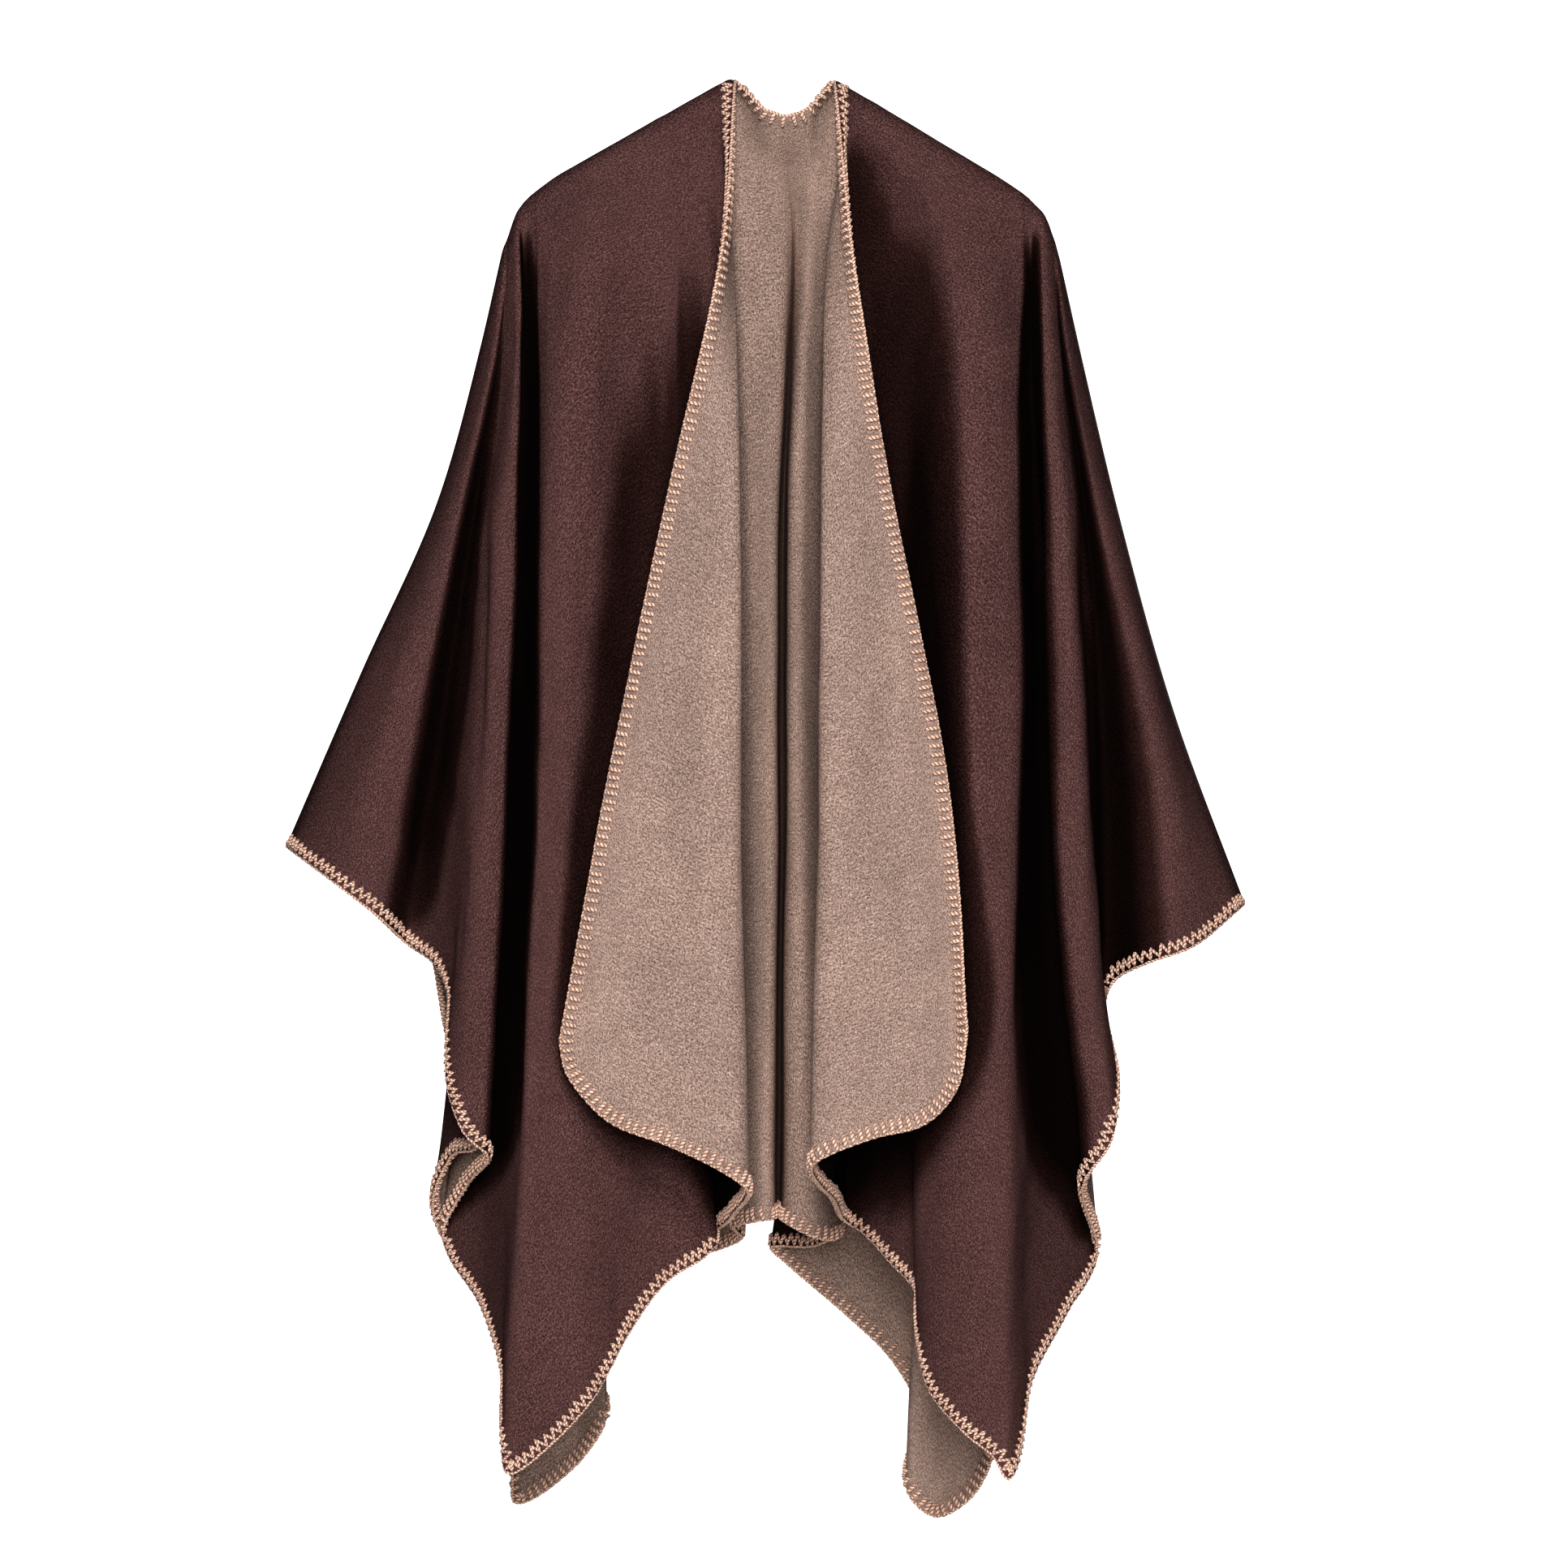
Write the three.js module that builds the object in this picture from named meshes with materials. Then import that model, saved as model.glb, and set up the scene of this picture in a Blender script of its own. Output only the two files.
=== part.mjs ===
import * as THREE from "three";

// Open poncho, a wide oblong of double-faced blanket cloth with a centre-front slit, worn filled out.
// Millimetres, +Z up, the opening towards -Y, +X to the right of someone who looks at the opening.
// The origin is on the centre line, level with the neck ends of the shoulder fold.
// The cloth is one oblong. It is divided only along the fold over the shoulders and arms.

// Sizes of the cut and of the drawing grid
const WALL = 2;
const DIVIDE_GAP = 0.3;
const GRID = 0.54;
const GRID_CENTRE = 967;
const GRID_TOP = 100;
const DIVIDE_REACH = 60;
const FOLD_ROLL = 12;

// Heights along each thread, from the shoulder fold to the edge, where the tables give a place
const STATION = [0, 0.15, 0.4, 0.7, 1];
const ROWS = [0, 0.008, 0.022, 0.05, 0.1, 0.17, 0.26, 0.37, 0.49, 0.61, 0.74, 0.87, 1];
const STEPS_BETWEEN_THREADS = 2;

// Each row of a table is one thread of the cloth. cut is where it ends on the flat oblong, out from the
// centre and along from the shoulder fold, in mm. The other columns are places on it: across and down
// on the drawing grid, then depth in mm, where minus is towards the viewer of the opening.

// Left front, from the slit edge out to the fold over the arm
const leftFront = [
  { thread: "slit edge", cut: [0, 700], top: [905, 98, 0],
    chest: [893, 284, -60], waist: [826, 604, -76], hip: [752, 960, -96], hem: [692, 1282, -112] },
  { thread: "flap corner", cut: [14, 729], top: [903, 99, 0],
    chest: [894, 287, -58], waist: [833, 611, -78], hip: [762, 972, -99], hem: [704, 1326, -114] },
  { thread: "flap hem", cut: [50, 741], top: [899, 100, 0],
    chest: [896, 293, -53], waist: [848, 628, -84], hip: [787, 1000, -106], hem: [753, 1379, -118] },
  { thread: "flap middle", cut: [90, 741], top: [894, 101, 0],
    chest: [898, 297, -47], waist: [874, 648, -92], hip: [840, 1028, -116], hem: [822, 1406, -125] },
  { thread: "flap by fold", cut: [125, 741], top: [888, 103, 0],
    chest: [900, 300, -40], waist: [897, 663, -97], hip: [888, 1048, -121], hem: [884, 1435, -128] },
  { thread: "flap fold", cut: [150, 741], top: [880, 107, 0],
    chest: [901, 302, -34], waist: [911, 670, -93], hip: [914, 1053, -113], hem: [921, 1463, -117] },
  { thread: "under fold", cut: [188, 741], top: [866, 115, 0],
    chest: [890, 302, -28], waist: [902, 669, -70], hip: [902, 1053, -82], hem: [906, 1489, -78] },
  { thread: "inner layer", cut: [236, 741], top: [848, 125, 0],
    chest: [870, 301, -26], waist: [882, 667, -46], hip: [880, 1052, -46], hem: [887, 1511, -34] },
  { thread: "inner back", cut: [296, 741], top: [834, 133, 0],
    chest: [852, 300, -22], waist: [858, 667, -20], hip: [852, 1053, -8], hem: [840, 1535, 8] },
  { thread: "inner turn", cut: [326, 741], top: [822, 140, 0],
    chest: [838, 301, -19], waist: [840, 669, -11], hip: [826, 1059, 4], hem: [810, 1549, 22] },
  { thread: "tuck turn", cut: [346, 741], top: [816, 143, 0],
    chest: [832, 302, -18], waist: [834, 673, -10], hip: [820, 1068, -7], hem: [803, 1560, 4] },
  { thread: "tuck middle", cut: [370, 741], top: [810, 146, 0],
    chest: [826, 303, -18], waist: [829, 677, -11], hip: [832, 1079, -20], hem: [836, 1564, -16] },
  { thread: "tuck lip", cut: [404, 741], top: [798, 153, 0],
    chest: [812, 306, -18], waist: [824, 687, -12], hip: [850, 1089, -34], hem: [881, 1531, -40] },
  { thread: "lip face", cut: [424, 741], top: [784, 161, 0],
    chest: [796, 311, -19], waist: [808, 699, -15], hip: [835, 1107, -42], hem: [864, 1549, -50] },
  { thread: "panel", cut: [462, 741], top: [765, 172, 0],
    chest: [770, 321, -24], waist: [776, 716, -26], hip: [785, 1138, -50], hem: [815, 1582, -64] },
  { thread: "panel middle", cut: [514, 741], top: [740, 186, 0],
    chest: [740, 338, -34], waist: [738, 740, -50], hip: [738, 1184, -70], hem: [764, 1660, -90] },
  { thread: "lit ridge", cut: [553, 741], top: [712, 202, 0],
    chest: [706, 365, -40], waist: [702, 785, -66], hip: [700, 1240, -87], hem: [729, 1720, -108] },
  { thread: "ridge side", cut: [592, 741], top: [686, 217, 0],
    chest: [682, 410, -39], waist: [681, 835, -68], hip: [671, 1295, -92], hem: [683, 1771, -116] },
  { thread: "corner ridge", cut: [625, 737], top: [664, 233, 0],
    chest: [669, 450, -35], waist: [668, 872, -67], hip: [649, 1342, -95], hem: [632, 1809, -119] },
  { thread: "past the corner", cut: [648, 705], top: [659, 237, 0],
    chest: [664, 446, -26], waist: [660, 858, -51], hip: [641, 1322, -80], hem: [619, 1775, -112] },
  { thread: "valley side", cut: [650, 645], top: [654, 241, 0],
    chest: [657, 440, -17], waist: [651, 835, -30], hip: [631, 1285, -60], hem: [618, 1690, -84] },
  { thread: "valley floor", cut: [650, 575], top: [650, 245, 0],
    chest: [650, 432, -10], waist: [639, 800, -12], hip: [611, 1230, -27], hem: [594, 1608, -42] },
  { thread: "valley back", cut: [650, 520], top: [646, 249, 0],
    chest: [646, 426, -8], waist: [629, 770, -5], hip: [591, 1180, -6], hem: [556, 1551, -12] },
  { thread: "valley turn", cut: [650, 485], top: [643, 253, 0],
    chest: [643, 420, -10], waist: [625, 745, -7], hip: [587, 1135, -6], hem: [547, 1512, -8] },
  { thread: "under layer", cut: [650, 450], top: [640, 257, 0],
    chest: [642, 414, -16], waist: [631, 722, -22], hip: [607, 1100, -34], hem: [577, 1456, -42] },
  { thread: "side lip", cut: [650, 415], top: [637, 262, 0],
    chest: [643, 408, -26], waist: [637, 706, -46], hip: [621, 1075, -74], hem: [603, 1424, -84] },
  { thread: "side ridge", cut: [650, 378], top: [635, 267, 0],
    chest: [638, 409, -29], waist: [625, 690, -52], hip: [603, 1045, -82], hem: [573, 1391, -92] },
  { thread: "ridge outside", cut: [650, 328], top: [633, 272, 0],
    chest: [634, 410, -27], waist: [614, 672, -50], hip: [587, 1000, -76], hem: [551, 1325, -80] },
  { thread: "faint crease", cut: [650, 276], top: [631, 278, 0],
    chest: [630, 411, -24], waist: [606, 655, -43], hip: [575, 955, -58], hem: [554, 1235, -60] },
  { thread: "arm rise", cut: [650, 232], top: [629, 284, 0],
    chest: [625, 412, -20], waist: [597, 640, -30], hip: [561, 930, -34], hem: [536, 1188, -38] },
  { thread: "arm hollow", cut: [650, 184], top: [627, 291, 0],
    chest: [619, 414, -15], waist: [585, 625, -17], hip: [541, 905, -14], hem: [500, 1161, -14] },
  { thread: "arm panel", cut: [650, 134], top: [624, 298, 0],
    chest: [612, 416, -18], waist: [571, 618, -30], hip: [519, 880, -36], hem: [467, 1128, -38] },
  { thread: "arm front", cut: [650, 72], top: [621, 305, 0],
    chest: [603, 420, -12], waist: [556, 612, -22], hip: [482, 850, -30], hem: [412, 1086, -36] },
  { thread: "arm fold", cut: [650, 0], top: [619, 312, 0],
    chest: [593, 426, 0], waist: [541, 614, 0], hip: [446, 828, 0], hem: [353, 1043, 0] },
];

// Right front, from the slit edge out to the fold over the arm
const rightFront = [
  { thread: "slit edge", cut: [0, 700], top: [1029, 99, 0],
    chest: [1048, 290, -56], waist: [1093, 588, -78], hip: [1164, 952, -98], hem: [1191, 1268, -118] },
  { thread: "flap corner", cut: [14, 729], top: [1031, 100, 0],
    chest: [1046, 292, -54], waist: [1087, 598, -80], hip: [1153, 964, -101], hem: [1178, 1336, -114] },
  { thread: "flap hem", cut: [50, 741], top: [1036, 102, 0],
    chest: [1041, 298, -50], waist: [1072, 622, -86], hip: [1126, 992, -107], hem: [1138, 1381, -122] },
  { thread: "flap middle", cut: [90, 741], top: [1041, 105, 0],
    chest: [1034, 302, -46], waist: [1048, 645, -94], hip: [1080, 1022, -116], hem: [1078, 1397, -127] },
  { thread: "flap by fold", cut: [125, 741], top: [1047, 109, 0],
    chest: [1026, 304, -41], waist: [1026, 660, -97], hip: [1034, 1040, -120], hem: [1024, 1417, -128] },
  { thread: "flap fold", cut: [148, 741], top: [1054, 113, 0],
    chest: [1021, 306, -34], waist: [1014, 668, -93], hip: [1010, 1046, -112], hem: [1000, 1435, -117] },
  { thread: "under fold", cut: [188, 741], top: [1064, 119, 0],
    chest: [1030, 308, -26], waist: [1022, 670, -72], hip: [1019, 1048, -80], hem: [1012, 1461, -78] },
  { thread: "inner layer", cut: [240, 741], top: [1077, 126, 0],
    chest: [1050, 312, -21], waist: [1042, 674, -46], hip: [1036, 1056, -42], hem: [1029, 1482, -34] },
  { thread: "inner back", cut: [292, 741], top: [1090, 134, 0],
    chest: [1072, 317, -19], waist: [1062, 682, -18], hip: [1050, 1066, -8], hem: [1040, 1504, 10] },
  { thread: "inner face", cut: [318, 741], top: [1105, 143, 0],
    chest: [1092, 322, -19], waist: [1084, 692, -13], hip: [1075, 1085, -8], hem: [1066, 1520, 3] },
  { thread: "inner rise", cut: [362, 741], top: [1122, 153, 0],
    chest: [1112, 328, -20], waist: [1104, 702, -14], hip: [1102, 1105, -17], hem: [1100, 1556, -16] },
  { thread: "step back", cut: [405, 741], top: [1140, 164, 0],
    chest: [1130, 336, -23], waist: [1119, 716, -18], hip: [1120, 1130, -32], hem: [1131, 1594, -38] },
  { thread: "step front", cut: [455, 741], top: [1158, 175, 0],
    chest: [1147, 344, -28], waist: [1130, 732, -28], hip: [1127, 1162, -52], hem: [1131, 1652, -80] },
  { thread: "lower ridge", cut: [513, 741], top: [1180, 188, 0],
    chest: [1171, 357, -36], waist: [1156, 757, -50], hip: [1148, 1205, -72], hem: [1147, 1712, -100] },
  { thread: "ridge middle", cut: [560, 741], top: [1205, 203, 0],
    chest: [1200, 381, -42], waist: [1193, 802, -75], hip: [1188, 1258, -93], hem: [1186, 1758, -117] },
  { thread: "ridge side", cut: [596, 741], top: [1230, 218, 0],
    chest: [1229, 410, -40], waist: [1229, 842, -72], hip: [1220, 1302, -97], hem: [1222, 1787, -123] },
  { thread: "corner ridge", cut: [625, 737], top: [1257, 236, 0],
    chest: [1252, 450, -34], waist: [1253, 882, -66], hip: [1243, 1346, -95], hem: [1240, 1815, -126] },
  { thread: "past the corner", cut: [648, 705], top: [1262, 240, 0],
    chest: [1259, 447, -25], waist: [1262, 872, -48], hip: [1254, 1334, -78], hem: [1254, 1785, -112] },
  { thread: "valley side", cut: [650, 645], top: [1266, 243, 0],
    chest: [1264, 442, -16], waist: [1272, 855, -26], hip: [1270, 1306, -50], hem: [1267, 1700, -84] },
  { thread: "valley floor", cut: [650, 570], top: [1270, 247, 0],
    chest: [1268, 435, -11], waist: [1283, 826, -11], hip: [1296, 1262, -18], hem: [1311, 1621, -46] },
  { thread: "valley turn", cut: [650, 490], top: [1274, 251, 0],
    chest: [1273, 428, -11], waist: [1295, 796, -5], hip: [1324, 1210, -6], hem: [1352, 1545, -8] },
  { thread: "side lip", cut: [650, 412], top: [1282, 259, 0],
    chest: [1282, 409, -26], waist: [1286, 750, -44], hip: [1301, 1120, -66], hem: [1333, 1462, -72] },
  { thread: "side ridge", cut: [650, 362], top: [1286, 264, 0],
    chest: [1288, 404, -29], waist: [1300, 724, -54], hip: [1320, 1075, -79], hem: [1366, 1404, -88] },
  { thread: "ridge outside", cut: [650, 305], top: [1289, 270, 0],
    chest: [1294, 403, -27], waist: [1318, 694, -52], hip: [1341, 1030, -72], hem: [1372, 1338, -66] },
  { thread: "ridge edge", cut: [650, 250], top: [1292, 277, 0],
    chest: [1300, 406, -22], waist: [1330, 672, -34], hip: [1347, 980, -32], hem: [1357, 1262, -24] },
  { thread: "arm hollow", cut: [650, 205], top: [1295, 286, 0],
    chest: [1306, 411, -15], waist: [1340, 660, -16], hip: [1362, 940, -14], hem: [1370, 1211, -14] },
  { thread: "arm panel", cut: [650, 145], top: [1299, 297, 0],
    chest: [1313, 419, -18], waist: [1351, 650, -27], hip: [1394, 912, -34], hem: [1412, 1186, -36] },
  { thread: "arm front", cut: [650, 75], top: [1302, 308, 0],
    chest: [1321, 430, -12], waist: [1366, 646, -22], hip: [1429, 896, -30], hem: [1472, 1163, -34] },
  { thread: "arm fold", cut: [650, 0], top: [1305, 319, 0],
    chest: [1332, 440, 0], waist: [1380, 642, 0], hip: [1447, 881, 0], hem: [1533, 1114, 0] },
];

// Back, from the fold over the left arm, past the neck, to the fold over the right arm
const back = [
  { thread: "left arm fold", cut: [-650, 0], top: [619, 312, 0],
    chest: [593, 426, 0], waist: [541, 614, 0], hip: [446, 828, 0], hem: [353, 1043, 0] },
  { thread: "left arm back", cut: [-650, 75], top: [622, 303, 0],
    chest: [603, 420, 12], waist: [556, 612, 22], hip: [482, 848, 32], hem: [407, 1072, 40] },
  { thread: "left arm panel", cut: [-650, 140], top: [625, 295, 0],
    chest: [612, 416, 18], waist: [572, 618, 32], hip: [518, 878, 42], hem: [457, 1104, 46] },
  { thread: "left arm hollow", cut: [-650, 195], top: [629, 284, 0],
    chest: [620, 413, 17], waist: [589, 630, 22], hip: [543, 905, 22], hem: [497, 1138, 22] },
  { thread: "left arm rise", cut: [-650, 260], top: [632, 275, 0],
    chest: [626, 411, 23], waist: [601, 650, 33], hip: [560, 940, 24], hem: [531, 1170, 22] },
  { thread: "left side ridge", cut: [-650, 330], top: [635, 267, 0],
    chest: [633, 410, 28], waist: [611, 676, 28], hip: [564, 1000, -4], hem: [556, 1290, -72] },
  { thread: "left side lip", cut: [-650, 392], top: [638, 261, 0],
    chest: [639, 410, 29], waist: [619, 705, 26], hip: [573, 1065, -18], hem: [590, 1404, -100] },
  { thread: "left under layer", cut: [-650, 432], top: [641, 256, 0],
    chest: [641, 413, 20], waist: [622, 722, 20], hip: [576, 1092, -14], hem: [558, 1422, -66] },
  { thread: "left turn", cut: [-650, 476], top: [644, 252, 0],
    chest: [642, 418, 13], waist: [624, 742, 15], hip: [578, 1132, -6], hem: [533, 1476, -38] },
  { thread: "left valley back", cut: [-650, 515], top: [647, 248, 0],
    chest: [645, 424, 10], waist: [627, 765, 12], hip: [584, 1175, 4], hem: [541, 1520, -14] },
  { thread: "left valley floor", cut: [-650, 580], top: [651, 244, 0],
    chest: [650, 430, 12], waist: [636, 795, 16], hip: [604, 1225, 18], hem: [579, 1577, 8] },
  { thread: "left valley side", cut: [-650, 655], top: [655, 240, 0],
    chest: [656, 438, 20], waist: [648, 830, 34], hip: [628, 1285, 56], hem: [616, 1680, 66] },
  { thread: "past left corner", cut: [-649, 725], top: [659, 237, 0],
    chest: [662, 444, 30], waist: [658, 860, 57], hip: [641, 1335, 86], hem: [627, 1812, 92] },
  { thread: "left corner", cut: [-627, 762], top: [670, 230, 0],
    chest: [669, 446, 36], waist: [665, 872, 67], hip: [651, 1360, 94], hem: [634, 1861, 101] },
  { thread: "left lobe", cut: [-580, 765], top: [700, 209, 0],
    chest: [692, 425, 41], waist: [691, 845, 72], hip: [699, 1320, 101], hem: [698, 1822, 112] },
  { thread: "left lobe fold", cut: [-530, 765], top: [720, 197, 0],
    chest: [715, 402, 42], waist: [722, 815, 70], hip: [735, 1270, 92], hem: [744, 1756, 98] },
  { thread: "behind left lobe", cut: [-480, 765], top: [742, 185, 0],
    chest: [738, 385, 43], waist: [743, 790, 84], hip: [746, 1235, 122], hem: [724, 1706, 143] },
  { thread: "left back turn", cut: [-440, 765], top: [765, 172, 0],
    chest: [762, 370, 45], waist: [766, 765, 96], hip: [766, 1195, 145], hem: [738, 1660, 170] },
  { thread: "left outer back", cut: [-395, 765], top: [790, 158, 0],
    chest: [788, 350, 46], waist: [792, 740, 99], hip: [797, 1155, 152], hem: [790, 1602, 176] },
  { thread: "left back", cut: [-345, 765], top: [815, 144, 0],
    chest: [815, 330, 46], waist: [820, 715, 93], hip: [833, 1120, 140], hem: [842, 1561, 160] },
  { thread: "left inner back", cut: [-300, 765], top: [840, 129, 0],
    chest: [842, 312, 44], waist: [850, 690, 80], hip: [866, 1090, 116], hem: [886, 1545, 126] },
  { thread: "left curl", cut: [-265, 765], top: [863, 116, 0],
    chest: [868, 298, 42], waist: [880, 670, 68], hip: [895, 1070, 93], hem: [913, 1531, 102] },
  { thread: "left curl front", cut: [-240, 765], top: [885, 104, 0],
    chest: [892, 285, 38], waist: [904, 655, 56], hip: [907, 1055, 76], hem: [903, 1516, 84] },
  { thread: "left ridge", cut: [-205, 765], top: [905, 98, 0],
    chest: [913, 275, 33], waist: [929, 645, 45], hip: [934, 1050, 56], hem: [930, 1508, 58] },
  { thread: "left ridge side", cut: [-170, 765], top: [938, 130, 3],
    chest: [958, 272, 34], waist: [949, 642, 46], hip: [950, 1048, 56], hem: [949, 1505, 60] },
  { thread: "valley left wall", cut: [-130, 765], top: [953, 137, 5],
    chest: [970, 272, 38], waist: [955, 644, 70], hip: [953, 1050, 92], hem: [953, 1503, 108] },
  { thread: "middle valley", cut: [-85, 765], top: [967, 141, 6],
    chest: [977, 272, 42], waist: [963, 645, 85], hip: [961, 1050, 110], hem: [961, 1502, 126] },
  { thread: "valley right wall", cut: [-40, 765], top: [982, 138, 5],
    chest: [984, 272, 38], waist: [971, 644, 70], hip: [969, 1050, 92], hem: [969, 1504, 108] },
  { thread: "right ridge side", cut: [0, 765], top: [998, 130, 3],
    chest: [994, 272, 32], waist: [978, 642, 46], hip: [974, 1048, 58], hem: [975, 1509, 62] },
  { thread: "right ridge", cut: [30, 765], top: [1014, 113, 1],
    chest: [1003, 276, 32], waist: [992, 644, 44], hip: [988, 1050, 52], hem: [1000, 1526, 48] },
  { thread: "right ridge front", cut: [65, 765], top: [1029, 99, 0],
    chest: [1014, 281, 36], waist: [1010, 655, 58], hip: [1010, 1058, 68], hem: [1029, 1531, 60] },
  { thread: "right lip", cut: [95, 765], top: [1038, 103, 0],
    chest: [1026, 288, 41], waist: [1020, 665, 76], hip: [1021, 1068, 88], hem: [1037, 1524, 78] },
  { thread: "right middle layer", cut: [140, 765], top: [1049, 110, 0],
    chest: [1040, 297, 46], waist: [1028, 678, 93], hip: [1010, 1080, 110], hem: [1000, 1541, 108] },
  { thread: "right back turn", cut: [190, 765], top: [1062, 118, 0],
    chest: [1056, 307, 49], waist: [1042, 690, 106], hip: [1009, 1092, 132], hem: [951, 1543, 136] },
  { thread: "right back", cut: [225, 765], top: [1082, 129, 0],
    chest: [1076, 320, 50], waist: [1064, 707, 112], hip: [1040, 1110, 144], hem: [976, 1569, 150] },
  { thread: "right outer back", cut: [300, 765], top: [1110, 146, 0],
    chest: [1102, 336, 50], waist: [1096, 732, 112], hip: [1085, 1152, 150], hem: [1050, 1634, 164] },
  { thread: "right back rise", cut: [360, 765], top: [1140, 164, 0],
    chest: [1130, 354, 48], waist: [1123, 762, 106], hip: [1117, 1198, 146], hem: [1103, 1687, 166] },
  { thread: "behind right lobe", cut: [425, 765], top: [1170, 182, 0],
    chest: [1158, 376, 46], waist: [1147, 795, 97], hip: [1144, 1248, 136], hem: [1140, 1764, 160] },
  { thread: "right lobe fold", cut: [515, 765], top: [1200, 200, 0],
    chest: [1186, 400, 42], waist: [1166, 828, 76], hip: [1143, 1295, 102], hem: [1119, 1838, 104] },
  { thread: "right corner", cut: [590, 764], top: [1228, 217, 0],
    chest: [1212, 425, 40], waist: [1192, 858, 70], hip: [1171, 1335, 95], hem: [1150, 1876, 100] },
  { thread: "past right corner", cut: [645, 742], top: [1250, 231, 0],
    chest: [1234, 440, 37], waist: [1220, 876, 62], hip: [1202, 1350, 86], hem: [1186, 1864, 95] },
  { thread: "right lobe side", cut: [650, 690], top: [1260, 239, 0],
    chest: [1248, 446, 32], waist: [1240, 876, 53], hip: [1227, 1338, 74], hem: [1214, 1828, 86] },
  { thread: "right valley side", cut: [650, 635], top: [1265, 242, 0],
    chest: [1258, 443, 24], waist: [1260, 862, 32], hip: [1255, 1312, 50], hem: [1238, 1755, 64] },
  { thread: "right valley floor", cut: [650, 565], top: [1270, 246, 0],
    chest: [1263, 436, 13], waist: [1278, 832, 17], hip: [1286, 1268, 24], hem: [1278, 1655, 34] },
  { thread: "right turn", cut: [650, 500], top: [1275, 251, 0],
    chest: [1269, 428, 12], waist: [1292, 800, 12], hip: [1317, 1212, 14], hem: [1322, 1572, 18] },
  { thread: "right under layer", cut: [650, 455], top: [1279, 256, 0],
    chest: [1275, 418, 19], waist: [1289, 775, 30], hip: [1313, 1163, 42], hem: [1318, 1482, 48] },
  { thread: "right side lip", cut: [650, 405], top: [1283, 260, 0],
    chest: [1281, 407, 28], waist: [1284, 750, 48], hip: [1298, 1118, 70], hem: [1312, 1412, 76] },
  { thread: "right side ridge", cut: [650, 345], top: [1287, 266, 0],
    chest: [1289, 402, 28], waist: [1306, 712, 46], hip: [1331, 1055, 64], hem: [1349, 1318, 74] },
  { thread: "right arm rise", cut: [650, 275], top: [1291, 275, 0],
    chest: [1297, 404, 23], waist: [1327, 674, 36], hip: [1347, 985, 44], hem: [1349, 1214, 44] },
  { thread: "right arm hollow", cut: [650, 210], top: [1295, 286, 0],
    chest: [1305, 410, 16], waist: [1342, 660, 22], hip: [1364, 935, 20], hem: [1376, 1182, 22] },
  { thread: "right arm panel", cut: [650, 145], top: [1299, 297, 0],
    chest: [1311, 420, 18], waist: [1353, 650, 30], hip: [1396, 908, 38], hem: [1422, 1160, 42] },
  { thread: "right arm back", cut: [650, 72], top: [1302, 308, 0],
    chest: [1321, 430, 12], waist: [1366, 645, 22], hip: [1430, 894, 32], hem: [1480, 1138, 38] },
  { thread: "right arm fold", cut: [650, 0], top: [1305, 319, 0],
    chest: [1332, 440, 0], waist: [1380, 642, 0], hip: [1447, 881, 0], hem: [1533, 1114, 0] },
];

// A smooth curve through values given at uneven places, whose bends don't overshoot
function curveThrough(places, values, at) {
  const last = places.length - 1;
  let i = 0;
  while (i < last - 1 && at > places[i + 1]) i += 1;
  const slope = (k) => (values[k + 1] - values[k]) / (places[k + 1] - places[k]);
  const bend = (k) => {
    if (k === 0) return slope(0);
    if (k === last) return slope(last - 1);
    const before = places[k] - places[k - 1];
    const after = places[k + 1] - places[k];
    return (slope(k - 1) * after + slope(k) * before) / (before + after);
  };
  const span = places[i + 1] - places[i];
  const s = (at - places[i]) / span;
  const s2 = s * s;
  const s3 = s2 * s;
  return (
    (2 * s3 - 3 * s2 + 1) * values[i] +
    (s3 - 2 * s2 + s) * span * bend(i) +
    (3 * s2 - 2 * s3) * values[i + 1] +
    (s3 - s2) * span * bend(i + 1)
  );
}

// One point of a thread: place in mm and how far it lies from the fold on the flat cloth
function pointOnThread(row, t) {
  const stops = [row.top, row.chest, row.waist, row.hip, row.hem];
  const across = curveThrough(STATION, stops.map((stop) => stop[0]), t);
  const down = curveThrough(STATION, stops.map((stop) => stop[1]), t);
  const depth = curveThrough(STATION, stops.map((stop) => stop[2]), t);
  return [(across - GRID_CENTRE) * GRID, depth, (GRID_TOP - down) * GRID, row.cut[1] * t];
}

// The cloth leaves the fold over shoulder and arm in a round turn
function foldRoll(fromFold) {
  const left = Math.max(0, 1 - fromFold / FOLD_ROLL);
  return FOLD_ROLL * Math.sqrt(1 - left * left);
}

// Grid of points over a panel, columns across the threads and rows along them
function panelGrid(table, side) {
  const grid = [];
  const columns = (table.length - 1) * STEPS_BETWEEN_THREADS + 1;
  for (let column = 0; column < columns; column += 1) {
    const place = column / STEPS_BETWEEN_THREADS;
    const near = Math.min(Math.floor(place), table.length - 2);
    const first = Math.max(0, near - 1);
    const last = Math.min(table.length - 1, near + 2);
    const line = [];
    for (const t of ROWS) {
      const points = [];
      for (let k = first; k <= last; k += 1) points.push(pointOnThread(table[k], t));
      const places = points.map((_, k) => first + k);
      const at = [0, 1, 2, 3].map((axis) => curveThrough(places, points.map((p) => p[axis]), place));
      const fromFold = Math.max(0, at[3]);
      const lift = side * at[1] + foldRoll(fromFold);
      const y = side * (fromFold < DIVIDE_REACH ? Math.max(lift, DIVIDE_GAP / 2) : lift);
      line.push(new THREE.Vector3(at[0], y, at[2]));
    }
    grid.push(line);
  }
  return grid;
}

// The way a line of points runs at one of them, which splits a sharp turn evenly
function runThrough(before, point, after) {
  const incoming = point.clone().sub(before).normalize();
  return after.clone().sub(point).normalize().add(incoming);
}

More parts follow.
